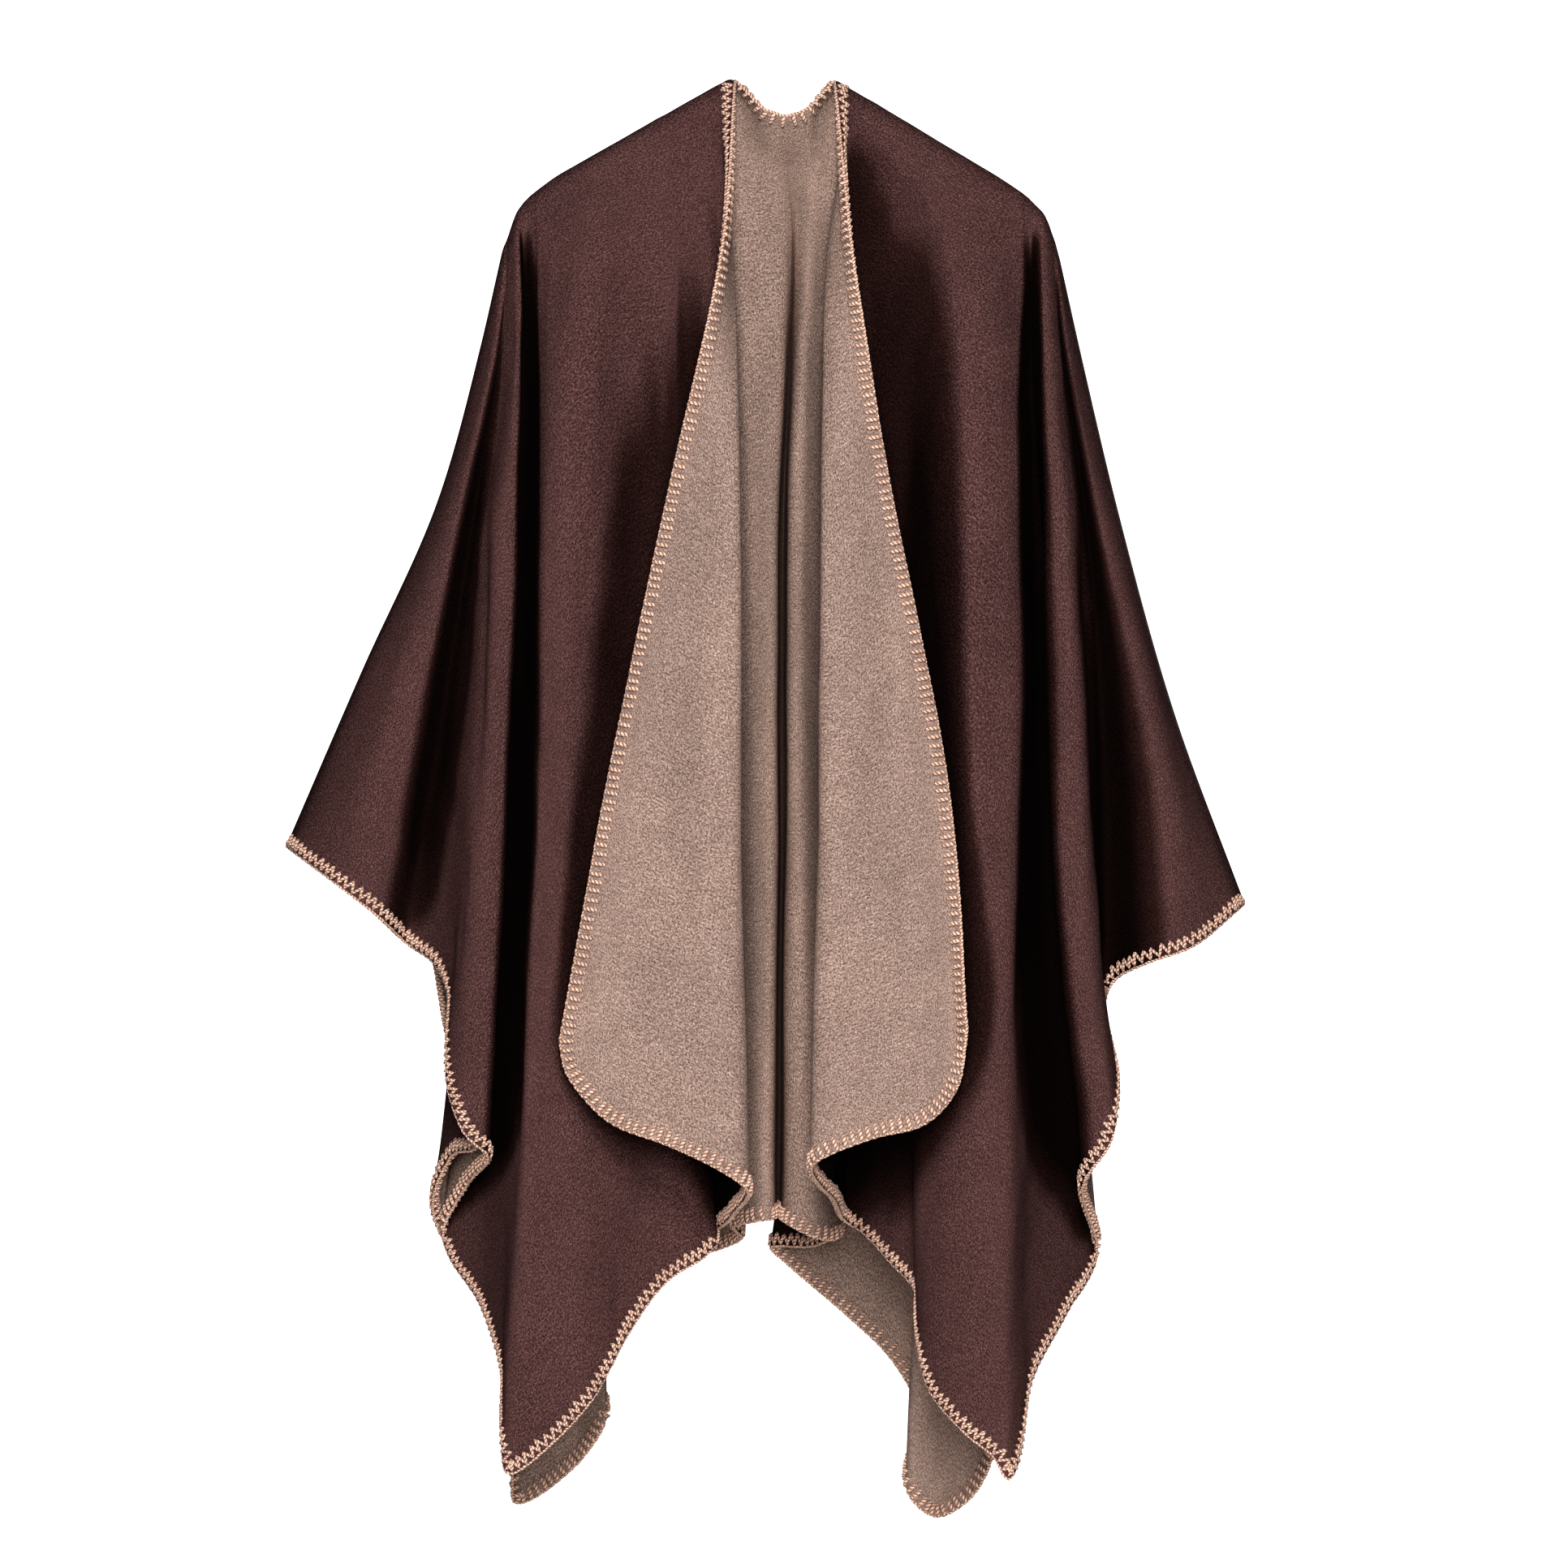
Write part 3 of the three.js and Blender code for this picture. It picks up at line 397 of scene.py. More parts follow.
# The main creases: panel, first and last thread, line on the drawing grid, width and rise in mm
CREASES = (
    ("front_cloth_left", "side ridge", "arm rise", ((607, 400), (589, 1090)), 3.0, -1.3),
    ("front_cloth_left", "side ridge", "arm rise", ((601, 670), (582, 1056)), 2.6, -0.9),
    ("front_cloth_left", "ridge outside", "arm hollow", ((577, 1037), (563, 1256)), 3.2, -1.4),
    ("front_cloth_left", "arm rise", "arm panel", ((572, 625), (514, 1095)), 13.0, -0.8),
    ("front_cloth_left", "arm hollow", "arm front", ((522, 760), (455, 1010)), 13.0, 2.4),
    ("front_cloth_left", "panel", "ridge side", ((670, 1013), (709, 977)), 2.2, -1.6),
    ("front_cloth_left", "panel", "lit ridge", ((716, 985), (724, 1045)), 3.0, -1.2),
    ("front_cloth_left", "panel", "ridge side", ((712, 250), (693, 430)), 11.0, -1.8),
    ("front_cloth_left", "lip face", "panel middle", ((760, 330), (742, 620)), 9.0, -1.6),
    ("front_cloth_left", "panel", "ridge side", ((735, 1300), (700, 1700)), 15.0, 2.2),
    ("front_cloth_left", "tuck lip", "panel middle", ((812, 1400), (765, 1650)), 16.0, -3.2),
    ("front_cloth_left", "flap middle", "flap fold", ((880, 720), (868, 1180)), 11.0, -2.2),
    ("front_cloth_left", "flap hem", "flap by fold", ((838, 800), (800, 1290)), 16.0, 1.8),
    ("front_cloth_right", "side ridge", "arm hollow", ((1334, 515), (1346, 1194)), 3.0, -1.5),
    ("front_cloth_right", "arm hollow", "arm front", ((1364, 690), (1398, 1100)), 13.0, -1.0),
    ("front_cloth_right", "arm panel", "arm fold", ((1400, 760), (1452, 1020)), 13.0, 2.0),
    ("front_cloth_right", "ridge middle", "corner ridge", ((1160, 375), (1204, 470)), 9.0, -1.8),
    ("front_cloth_right", "flap hem", "flap fold", ((1080, 640), (1120, 1230)), 15.0, 1.8),
    ("back_cloth", "left back turn", "left inner back", ((812, 420), (800, 1380)), 18.0, 4.0),
    ("back_cloth", "left lobe", "left lobe fold", ((706, 460), (716, 1500)), 9.0, -3.0),
    ("back_cloth", "right back", "right back rise", ((1104, 430), (1092, 1440)), 18.0, -4.0),
    ("back_cloth", "right lobe fold", "right corner", ((1208, 470), (1150, 1560)), 9.0, 2.6),
    ("back_cloth", "left arm panel", "left arm rise", ((590, 560), (548, 1010)), 11.0, -3.0),
    ("back_cloth", "right arm rise", "right arm panel", ((1330, 600), (1372, 1060)), 11.0, -3.0),
    ("back_cloth", "left arm back", "left arm panel", ((520, 780), (462, 1000)), 12.0, 2.2),
    ("back_cloth", "right arm panel", "right arm back", ((1398, 800), (1440, 1040)), 12.0, 2.0),
    ("back_cloth", "left ridge", "left ridge side", ((934, 300), (942, 900)), 6.0, 1.6),
    ("back_cloth", "right ridge side", "right ridge front", ((1000, 320), (1000, 1200)), 6.0, 1.4),
)


def through(places, values, at):
    """A smooth curve through values at uneven places."""
    places = np.asarray(places, float)
    values = np.asarray(values, float)
    at = np.asarray(at, float)
    wide = (-1,) + (1,) * (values.ndim - 1)
    gap = np.diff(places)
    slope = np.diff(values, axis=0) / gap.reshape(wide)
    bend = np.empty_like(values)
    bend[0] = slope[0]
    bend[-1] = slope[-1]
    before = gap[:-1].reshape(wide)
    after = gap[1:].reshape(wide)
    bend[1:-1] = (slope[:-1] * after + slope[1:] * before) / (before + after)
    i = np.clip(np.searchsorted(places, at, side="right") - 1, 0, len(places) - 2)
    span = gap[i].reshape(wide)
    s = ((at - places[i]) / gap[i]).reshape(wide)
    return (
        (2 * s**3 - 3 * s**2 + 1) * values[i]
        + (s**3 - 2 * s**2 + s) * span * bend[i]
        + (3 * s**2 - 2 * s**3) * values[i + 1]
        + (s**3 - s**2) * span * bend[i + 1]
    )


def unit(v):
    """Vectors of length one."""
    return v / np.maximum(np.linalg.norm(v, axis=-1, keepdims=True), LEAST_LENGTH)


def run_along(points, axis):
    """The way the points run along an axis, which splits a sharp turn evenly."""
    step = unit(np.diff(points, axis=axis))
    first = np.take(step, [0], axis=axis)
    last = np.take(step, [-1], axis=axis)
    return np.concatenate([first, step], axis=axis) + np.concatenate([step, last], axis=axis)


def beside(values):
    """The sum of the four values beside each one of a grid."""
    padded = np.pad(values, 1, mode="edge")
    return padded[:-2, 1:-1] + padded[2:, 1:-1] + padded[1:-1, :-2] + padded[1:-1, 2:]


def four_sided(number):
    """Faces over a grid of point numbers."""
    corners = [number[:-1, :-1], number[1:, :-1], number[1:, 1:], number[:-1, 1:]]
    return np.stack(corners, axis=-1).reshape(-1, 4)


def in_scene(name, data):
    """A new object in the scene."""
    thing = bpy.data.objects.new(name, data)
    bpy.context.scene.collection.objects.link(thing)
    return thing


class Panel:
    """One panel of the cloth: points, outward directions and places on the flat cut."""

    def __init__(self, name, table, side, facing):
        self.name = name
        self.side = side
        self.facing = facing
        self.threads = [row[0] for row in table]
        cut = np.array([row[1] for row in table], float)
        stops = np.array([row[2:] for row in table], float).transpose(1, 0, 2)
        places = through(STATION, stops, ROWS)
        fold = stops[0]
        steps = np.hypot(*np.diff(fold[:, :2], axis=0).T)
        run = np.concatenate([[0], np.cumsum(steps)]) * GRID
        hand = -1 if name.endswith("left") else 1
        middle = np.interp(GRID_CENTRE, fold[:, 0], run) if side > 0 else 0
        start = (run - middle if side > 0 else NECK_HALF + run) * hand
        ends = cut[:, 0] * hand
        share = ROWS[:, None]
        flat_u = start + (ends - start) * share
        flat_v = cut[:, 1] * share
        field = np.concatenate([places, flat_u[..., None], flat_v[..., None]], axis=2)
        last = len(table) - 1
        columns = np.linspace(0, last, last * STEPS_BETWEEN_THREADS + 1)
        field = through(range(len(table)), field.transpose(1, 0, 2), columns)
        self.draw = field[..., :2]
        self.flat = field[..., 3:]
        from_fold = np.abs(self.flat[..., 1])
        left = np.clip(1 - from_fold / FOLD_ROLL, 0, 1)
        roll = FOLD_ROLL * np.sqrt(1 - left * left)
        in_neck = np.clip(field[:, :1, 2] / NECK_BACK, 0, 1)
        neck_roll = FOLD_ROLL * np.clip(from_fold / NECK_ROLL, 0, 1)
        roll += (neck_roll - roll) * in_neck
        lift = side * field[..., 2] + roll
        depth = side * np.where(from_fold < DIVIDE_REACH, np.maximum(lift, 0), lift)
        self.points = np.stack(
            [(field[..., 0] - GRID_CENTRE) * GRID, depth, (GRID_TOP - field[..., 1]) * GRID],
            axis=2,
        )
        self.turn_out()

    def column(self, thread):
        return self.threads.index(thread) * STEPS_BETWEEN_THREADS

    def numbers(self, first=0):
        """Point numbers as a grid, from a first one."""
        wide, long = self.points.shape[:2]
        return np.arange(wide * long).reshape(wide, long) + first

    def turn_out(self):
        """Directions out of the cloth; along the fold they lie in the plane that divides it."""
        along = run_along(self.points, 1)
        across = run_along(self.points, 0)
        self.out = unit(np.cross(across, along)) * self.facing
        on_fold = np.abs(self.points[..., 1]) < ON_FOLD
        on_fold &= np.abs(self.flat[..., 1]) < ON_FOLD
        for i, j in zip(*np.nonzero(on_fold)):
            run = along[i, j] if i in (0, len(self.points) - 1) and j > 0 else across[i, j]
            out = unit(np.array([run[2], 0, -run[0]]))
            inwards = np.array(INSIDE) - self.points[i, j]
            self.out[i, j] = -out if out @ inwards > 0 else out

    def lift(self, height):
        """Moves the cloth outwards by a height in millimetres, less where it turns sharply."""
        even = np.ones_like(height)
        even[1:-1] = np.clip((self.out[:-2] * self.out[2:]).sum(axis=-1), 0, 1)
        for _ in range(COLUMNS_AROUND_TURN):
            even[1:-1] = np.minimum(np.minimum(even[:-2], even[2:]), even[1:-1])
        self.points = self.points + self.out * (height * even)[..., None]
        self.turn_out()


def crease(panel, first, last, line, width, rise):
    """A soft trough or ridge along a line of the drawing grid, between two threads."""
    start, end = (np.array(point, float) for point in line)
    run = end - start
    share = np.clip(((panel.draw - start) @ run) / (run @ run), 0, 1)
    far = np.linalg.norm(panel.draw - (start + share[..., None] * run), axis=-1) * GRID
    ends = np.sin(np.pi * np.clip(share, CREASE_END, 1 - CREASE_END)) ** 0.5
    keep = np.zeros(len(panel.draw))
    keep[panel.column(first):panel.column(last) + 1] = 1
    return rise * np.exp(-((far / width) ** 2)) * ends * keep[:, None]


def relief(panel):
    """Waves and creases of hanging cloth, which die out at the fold that joins the panels."""
    u = panel.flat[..., 0]
    v = panel.flat[..., 1] * -panel.side
    height = np.zeros_like(u)
    for size, swing, number in SOFT_WAVES:
        for turn, stretch, start in wave_draws[:number]:
            angle = turn * np.pi
            wave = u * np.cos(angle) + v * np.sin(angle) * WAVE_SLANT
            height += swing * np.sin(2 * np.pi * wave / (size * stretch) + start * WAVE_START)
    for name, first, last, line, width, rise in CREASES:
        if name == panel.name:
            height += crease(panel, first, last, line, width, rise)
    return height * np.clip(np.abs(v) / DIVIDE_REACH, 0, 1)


def fold_shelter(panels):
    """How far each point of both faces is shut in by cloth around it (0 to 1), for painted shade.
    """
    points, faces, first = [], [], 0
    for panel in panels:
        number = panel.numbers(first)
        faces += four_sided(number).tolist()
        points += panel.points.reshape(-1, 3).tolist()
        first += number.size
    around = BVHTree.FromPolygons(points, faces)
    ways = unit(dice.normal(size=(SHELTER_RAYS, 3)))
    for panel in panels:
        wide, long = panel.points.shape[:2]
        tried_i = np.unique(np.append(np.arange(0, wide, SHELTER_COLUMNS), wide - 1))
        tried_j = np.unique(np.append(np.arange(0, long, SHELTER_ROWS), long - 1))
        panel.shelter = []
        for face in (1, -1):
            shut = np.zeros((len(tried_i), len(tried_j)))
            for a, i in enumerate(tried_i):
                for b, j in enumerate(tried_j):
                    out = panel.out[i, j] * face
                    at = Vector(panel.points[i, j] + out * SHELTER_START)
                    for way in ways:
                        ray = Vector(unit(way + out * SHELTER_LEAN))
                        far = around.ray_cast(at, ray, SHELTER_REACH)[3]
                        if far is not None:
                            shut[a, b] += 1 - SHELTER_FADE * far / SHELTER_REACH
            shut /= SHELTER_RAYS
            shut = np.stack([np.interp(np.arange(long), tried_j, line) for line in shut])
            shut = np.stack([np.interp(np.arange(wide), tried_i, line) for line in shut.T]).T
            for _ in range(SMOOTHINGS):
                shut = (beside(shut) + 2 * shut) / 6
            panel.shelter.append(shut)


def half_wall(panel):
    """Half the wall at each point, thinner where a fold is tighter than the wall is thick."""
    half = np.full(panel.points.shape[:2], WALL / 2)
    for axis in (0, 1):
        at = np.moveaxis(panel.points, axis, 0)
        out = np.moveaxis(panel.out, axis, 0)
        here = np.moveaxis(half, axis, 0)
        span = np.linalg.norm(at[1:] - at[:-1], axis=-1)
        turn = np.linalg.norm(out[1:] - out[:-1], axis=-1)
        room = TURN_ROOM * span / np.maximum(turn, LEAST_TURN)
        here[1:] = np.minimum(here[1:], room)
        here[:-1] = np.minimum(here[:-1], room)
    half = np.maximum(half, THINNEST_HALF)
    for _ in range(SMOOTHINGS):
        half = np.minimum(half, beside(half) / 4)
    return half[..., None]


def cloth(panel, materials):
    """A closed thin shell of two faces: the outer one, the inner one and a narrow rim."""
    number = panel.numbers()
    half = half_wall(panel)
    outer = (panel.points + panel.out * half).reshape(-1, 3)
    inner = (panel.points - panel.out * half).reshape(-1, 3)
    ring = np.concatenate(
        [number[:, 0], number[-1, 1:], number[-2::-1, -1], number[0, -2:0:-1]]
    )
    following = np.roll(ring, -1)
    rim = np.stack([following, ring, ring + number.size, following + number.size], axis=-1)
    face = four_sided(number)
    if panel.facing < 0:
        face = face[:, ::-1]
        rim = rim[:, ::-1]
    inner_face = face[:, ::-1] + number.size
    faces = np.concatenate([face, inner_face, rim])
    mesh = bpy.data.meshes.new(panel.name)
    mesh.from_pydata((np.concatenate([outer, inner]) / 1000).tolist(), [], faces.tolist())
    kinds = np.repeat([0, 1, 1], [len(face), len(inner_face), len(rim)])
    mesh.polygons.foreach_set("material_index", kinds.astype(np.int32))
    mesh.polygons.foreach_set("use_smooth", np.ones(len(faces), bool))
    for material in materials:
        mesh.materials.append(material)
    corner = np.empty(len(mesh.loops), np.int32)
    mesh.loops.foreach_get("vertex_index", corner)
    flat = panel.flat * (1, -panel.side)
    flat = np.concatenate([flat.reshape(-1, 2)] * 2)[corner] / 1000
    layer = mesh.uv_layers.new(name="cut")
    layer.uv.foreach_set("vector", flat.astype(np.float32).ravel())
    # How shut in each point is, which the cloth materials paint as shade in the folds
    shelter = mesh.attributes.new("shelter", "FLOAT", "POINT")
    shelter.data.foreach_set(
        "value", np.concatenate([shut.ravel() for shut in panel.shelter]).astype(np.float32)
    )
    way = np.concatenate([panel.out.reshape(-1, 3), -panel.out.reshape(-1, 3)])
    mesh.normals_split_custom_set_from_vertices(way.tolist())
    return in_scene(panel.name, mesh)


class Edge:
    """A free edge of a panel: places, the way into the cloth and the way out of its face."""

    def __init__(self, panel, at, inside, out):
        run = unit(np.gradient(at, axis=0))
        into = inside - at
        into = unit(into - (into * run).sum(1, keepdims=True) * run)
        face = np.cross(run, into)
        if (face * out).sum() < 0:
            face = -face
        self.at, self.into, self.face = at, into, face
        steps = np.linalg.norm(np.diff(at, axis=0), axis=1)
        self.along = np.concatenate([[0], np.cumsum(steps)])
        self.length = self.along[-1]
        self.surface = BVHTree.FromPolygons(
            panel.points.reshape(-1, 3).tolist(), four_sided(panel.numbers()).tolist()
        )

    def read(self, field, along):
        """Values of a field at lengths along the edge."""
        values = [np.interp(along, self.along, field[:, k]) for k in range(3)]
        return np.stack(values, axis=-1)

    def places(self, along, depth, height):
        """Points at lengths along the edge, depths into the cloth and heights over its middle."""
        into = unit(self.read(self.into, along))
        face = unit(self.read(self.face, along))
        base = self.read(self.at, along) + into * depth[..., None]
        for k in np.ndindex(base.shape[:-1]):
            if depth[k] <= EDGE_DEPTH:
                continue
            near, way, _, far = self.surface.find_nearest(Vector(base[k]))
            if near is not None and far < NEAR_CLOTH:
                way = np.array(way)
                base[k] = near
                face[k] = way if way @ face[k] > 0 else -way
        return base + face * height[..., None], face


def edge_of_front(panel):
    """The slit's edge and the hem of a front, in one line."""
    points, out = panel.points, panel.out
    at = np.concatenate([points[0, 1:], points[1:, -1]])
    inside = np.concatenate([points[1, 1:], points[1:, -2]])
    return Edge(panel, at, inside, np.concatenate([out[0, 1:], out[1:, -1]]))


def edge_of_hem(panel):
    return Edge(panel, panel.points[:, -1], panel.points[:, -2], panel.out[:, -1])


def edge_of_neck(panel, first, last):
    part = slice(panel.column(first), panel.column(last) + 1)
    inside = panel.points[part, NECK_ROW]
    return Edge(panel, panel.points[part, 0], inside, panel.out[part, NECK_ROW])


def tubes(lines, guides, radius, sides):
    """Round strands along lines of points, with closed ends; guides point away from the cloth."""
    number, long = lines.shape[:2]
    way = unit(np.gradient(lines, axis=1))
    across = unit(np.cross(way, guides))[:, :, None, :]
    up = np.cross(across, way[:, :, None, :])
    turn = (np.arange(sides) / sides * 2 * np.pi)[:, None]
    ring = np.cos(turn) * across + np.sin(turn) * up
    radius = np.broadcast_to(radius, (number, long))[..., None, None]
    points = lines[:, :, None, :] + ring * radius
    index = np.arange(number * long * sides).reshape(number, long, sides)
    following = np.roll(index, -1, axis=2)
    faces = np.stack([index[:, :-1], following[:, :-1], following[:, 1:], index[:, 1:]], axis=-1)
    caps = np.concatenate([index[:, 0, ::-1], index[:, -1]])
    steps = np.linalg.norm(np.diff(lines, axis=1), axis=2)
    along = np.concatenate([np.zeros((number, 1)), np.cumsum(steps, axis=1)], axis=1)
    start = np.broadcast_to(along[:, :-1, None], (number, long - 1, sides))
    end = np.broadcast_to(along[:, 1:, None], (number, long - 1, sides))
    round_ = np.broadcast_to(np.arange(sides) / sides, start.shape)
    after = round_ + 1 / sides
    corners = ((start, round_), (start, after), (end, after), (end, round_))
    flat = np.stack([np.stack(corner, -1) for corner in corners], axis=3)
    return points.reshape(-1, 3), faces.reshape(-1, 4), caps, flat.reshape(-1, 2)


def stitched(edge):
    """The strands of one edge: slanted loops outside, bars inside, a strand on the edge."""
    number = int(edge.length / STITCH_PITCH * SPARE_SHARE) + SPARE_STITCHES
    pitch = STITCH_PITCH * dice.uniform(1 - UNEVEN_PITCH, 1 + UNEVEN_PITCH, number)
    spots = np.cumsum(pitch)
    spots = spots[spots < edge.length - LAST_GAP * STITCH_PITCH]
    deep = STITCH_DEPTH * dice.uniform(1 - UNEVEN_DEPTH, 1 + UNEVEN_DEPTH, len(spots))[:, None]
    step = np.diff(np.append(spots, edge.length))[:, None]
    spots = spots[:, None]
    resting = WALL / 2 + YARN * YARN_REST
    lean = dice.uniform(-UNEVEN_LEAN, UNEVEN_LEAN, len(spots))[:, None]
    more, share, leaning, less, inwards, height = LOOP.T
    along = np.clip(spots + more + step * share + lean * leaning, 0, edge.length)
    depth = less + deep * inwards
    height = np.broadcast_to(height + resting, along.shape)
    line, guide = edge.places(along.ravel(), depth.ravel(), height.ravel())
    loops = tubes(line[None], guide[None], YARN * LOOP_THICKNESS, LOOP_SIDES)
    leaning, inwards, share, height, thickness = BAR.T
    along = spots + lean * leaning
    height = np.broadcast_to(share * resting + height, along.shape)
    line, guide = edge.places(along, deep * inwards, height)
    bars = tubes(line, guide, YARN * thickness, LOOP_SIDES)
    along = np.linspace(0, edge.length, int(edge.length / STITCH_PITCH * STRAND_POINTS))
    sway = np.sin(along / STITCH_PITCH * 2 * np.pi)[:, None] * STRAND_SWAY
    lift = np.cos(along / STITCH_PITCH * STRAND_TURN)[:, None] * STRAND_LIFT
    face = unit(edge.read(edge.face, along))
    into = unit(edge.read(edge.into, along))
    line = edge.read(edge.at, along) - into * (STRAND_OUT + sway) + face * lift
    strand = tubes(line[None], face[None], YARN * STRAND_THICKNESS, STRAND_SIDES)
    return loops, bars, strand


def yarn(name, edges, material):
    """Blanket stitch in thick yarn along some edges."""
    points, faces, flat = [], [], []
    for edge in edges:
        for part, quads, caps, places in stitched(edge):
            first = len(points)
            points += part.tolist()
            faces += (quads + first).tolist() + (caps + first).tolist()
            flat += [places, np.zeros((caps.size, 2))]
    mesh = bpy.data.meshes.new(name)
    mesh.from_pydata((np.array(points) / 1000).tolist(), [], faces)
    mesh.polygons.foreach_set("use_smooth", np.ones(len(faces), bool))
    layer = mesh.uv_layers.new(name="strand")
    layer.uv.foreach_set("vector", np.concatenate(flat).astype(np.float32).ravel())
    mesh.materials.append(material)
    return in_scene(name, mesh)


class Nodes:
    """Short words for building a material's nodes."""

    def __init__(self, name):
        self.material = bpy.data.materials.new(name)
        self.material.use_nodes = True
        self.tree = self.material.node_tree
        self.shader = self.tree.nodes["Principled BSDF"]

    def add(self, kind, links=None, **values):
        node = self.tree.nodes.new(kind)
        for key, value in values.items():
            if hasattr(node, key):
                setattr(node, key, value)
            else:
                node.inputs[key.title()].default_value = value
        for key, source in (links or {}).items():
            self.tree.links.new(source, node.inputs[key])
        return node

    def fill(self, sockets, values):
        """Each socket gets a link or a constant."""
        for socket, value in zip(sockets, values):
            if isinstance(value, bpy.types.NodeSocket):
                self.tree.links.new(value, socket)
            else:
                socket.default_value = value

    def stretched(self, place, stretch):
        moved = self.add("ShaderNodeVectorMath", {0: place}, operation="MULTIPLY")
        moved.inputs[1].default_value = stretch
        return moved.outputs[0]

    def cells(self, place, stretch):
        """An even value for each small cell of a surface."""
        spots = self.add(
            "ShaderNodeTexVoronoi", {"Vector": self.stretched(place, stretch)}, scale=1.0
        )
        return self.add("ShaderNodeSeparateXYZ", {0: spots.outputs["Color"]}).outputs[0]

    def noise(self, place, stretch, detail=3, roughness=0.6):
        return self.add(
            "ShaderNodeTexNoise", {"Vector": self.stretched(place, stretch)},
            scale=1.0, detail=detail, roughness=roughness,
        ).outputs["Fac"]

    def ramp(self, source, stops):
        node = self.add("ShaderNodeValToRGB", {"Fac": source})
        line = node.color_ramp
        line.elements[0].position, line.elements[0].color = stops[0][0], (*stops[0][1], 1)
        line.elements[1].position, line.elements[1].color = stops[-1][0], (*stops[-1][1], 1)
        for at, colour in stops[1:-1]:
            line.elements.new(at).color = (*colour, 1)
        return node.outputs["Color"]

    def mix(self, share, a, b, blend="MIX"):
        node = self.tree.nodes.new("ShaderNodeMix")
        node.data_type = "RGBA"
        node.blend_type = blend
        self.fill((node.inputs[0], node.inputs[6], node.inputs[7]), (share, a, b))
        return node.outputs[2]

    def toned(self, share, colour, source, stops):
        """A colour multiplied by tones that follow a source."""
        return self.mix(share, colour, self.ramp(source, stops), "MULTIPLY")

    def math(self, kind, a, b):
        node = self.tree.nodes.new("ShaderNodeMath")
        node.operation = kind
        self.fill(node.inputs, (a, b))
        return node.outputs[0]

    def bump(self, height, distance, before=None):
        links = {"Height": height}
        if before is not None:
            links["Normal"] = before
        return self.add("ShaderNodeBump", links, distance=distance, strength=1.0).outputs[0]

    def finish(self, colour, normal, roughness, sheen, sheen_roughness, tint):
        self.tree.links.new(colour, self.shader.inputs["Base Color"])
        self.tree.links.new(normal, self.shader.inputs["Normal"])
        self.shader.inputs["Roughness"].default_value = roughness
        self.shader.inputs["Specular IOR Level"].default_value = 0.03
        self.shader.inputs["Sheen Weight"].default_value = sheen
        self.shader.inputs["Sheen Roughness"].default_value = sheen_roughness
        self.shader.inputs["Sheen Tint"].default_value = (*tint, 1)
        return self.material


def brushed_cloth(name, dark, middle, light, fleck, sheen, tint, deep):
    """Heathered double-faced cloth with a brushed nap, laid out on its flat cut in metres."""
    n = Nodes(name)
    place = n.add("ShaderNodeUVMap", uv_map="cut").outputs[0]
    grain = n.noise(place, (820, 700, 1), 2, 0.7)
    tufts = n.cells(place, (640, 560, 1))
    streak = n.noise(place, (110, 900, 1), 3, 0.6)
    cloud = n.noise(place, (42, 30, 1), 3, 0.55)
    wide = n.noise(place, (9, 7, 1), 2, 0.5)
    spots = n.noise(place, (760, 620, 1), 1, 0.5)
    weave = n.noise(place, (380, 1500, 1), 2, 0.5)
    # How shut in the cloth is, read from the mesh for the painted light and shade
    shelter = n.add("ShaderNodeAttribute", attribute_name="shelter").outputs["Fac"]
    colour = n.ramp(grain, ((0.36, dark), (0.5, middle), (0.64, light)))
    tones = ((0.0, (0.74, 0.72, 0.72)), (0.5, (1, 1, 1)), (1.0, (1.30, 1.31, 1.31)))
    colour = n.toned(0.5, colour, tufts, tones)
    tones = ((0.36, (0.84, 0.83, 0.83)), (0.64, (1.13, 1.13, 1.13)))
    colour = n.toned(0.85, colour, streak, tones)
    tones = ((0.3, (0.91, 0.90, 0.90)), (0.7, (1.07, 1.07, 1.08)))
    colour = n.toned(0.8, colour, cloud, tones)
    tones = ((0.35, (0.93, 0.93, 0.94)), (0.65, (1.06, 1.05, 1.05)))
    colour = n.toned(1.0, colour, wide, tones)
    spots = n.ramp(spots, ((0.64, (0, 0, 0)), (0.70, (1, 1, 1))))
    colour = n.mix(n.math("MULTIPLY", spots, 0.6), colour, (*fleck, 1))
    # Painted light and shade: the colour is multiplied by tones that follow how shut in the folds
    # are
    colour = n.toned(1.0, colour, shelter, deep)
    height = n.math("ADD", n.math("MULTIPLY", tufts, 0.3), n.math("MULTIPLY", weave, 0.5))
    normal = n.bump(cloud, 0.0005, n.bump(height, 0.0004))
    return n.finish(colour, normal, 0.95, sheen, 0.45, tint)


def twisted_yarn(name, base, groove_shade, lit):
    """Soft plied yarn whose twist follows each strand."""
    n = Nodes(name)
    place = n.add("ShaderNodeUVMap", uv_map="strand").outputs[0]
    along, around, _ = n.add("ShaderNodeSeparateXYZ", {0: place}).outputs
    turns = n.math("ADD", n.math("MULTIPLY", along, 0.42), n.math("MULTIPLY", around, 2.0))
    ply = n.math("SINE", n.math("MULTIPLY", turns, 6.2832), 0.0)
    where = n.add("ShaderNodeTexCoord").outputs["Object"]
    fuzz = n.noise(where, (1500, 1500, 1500), 2, 0.7)
    drift = n.noise(where, (60, 60, 60), 2, 0.5)
    height = n.math("ADD", n.math("MULTIPLY", ply, 0.5), fuzz)
    # Painted shade in the grooves of the twist and a painted highlight on its crowns; the fuzz
    # noise is real tone
    colour = n.ramp(height, ((0.1, groove_shade), (0.55, base), (1.0, lit)))
    tones = ((0.3, (0.88, 0.86, 0.85)), (0.7, (1.08, 1.08, 1.08)))
    colour = n.toned(1.0, colour, drift, tones)
    return n.finish(colour, n.bump(height, 0.0004), 0.9, 0.3, 0.5, (1, 0.9, 0.85))


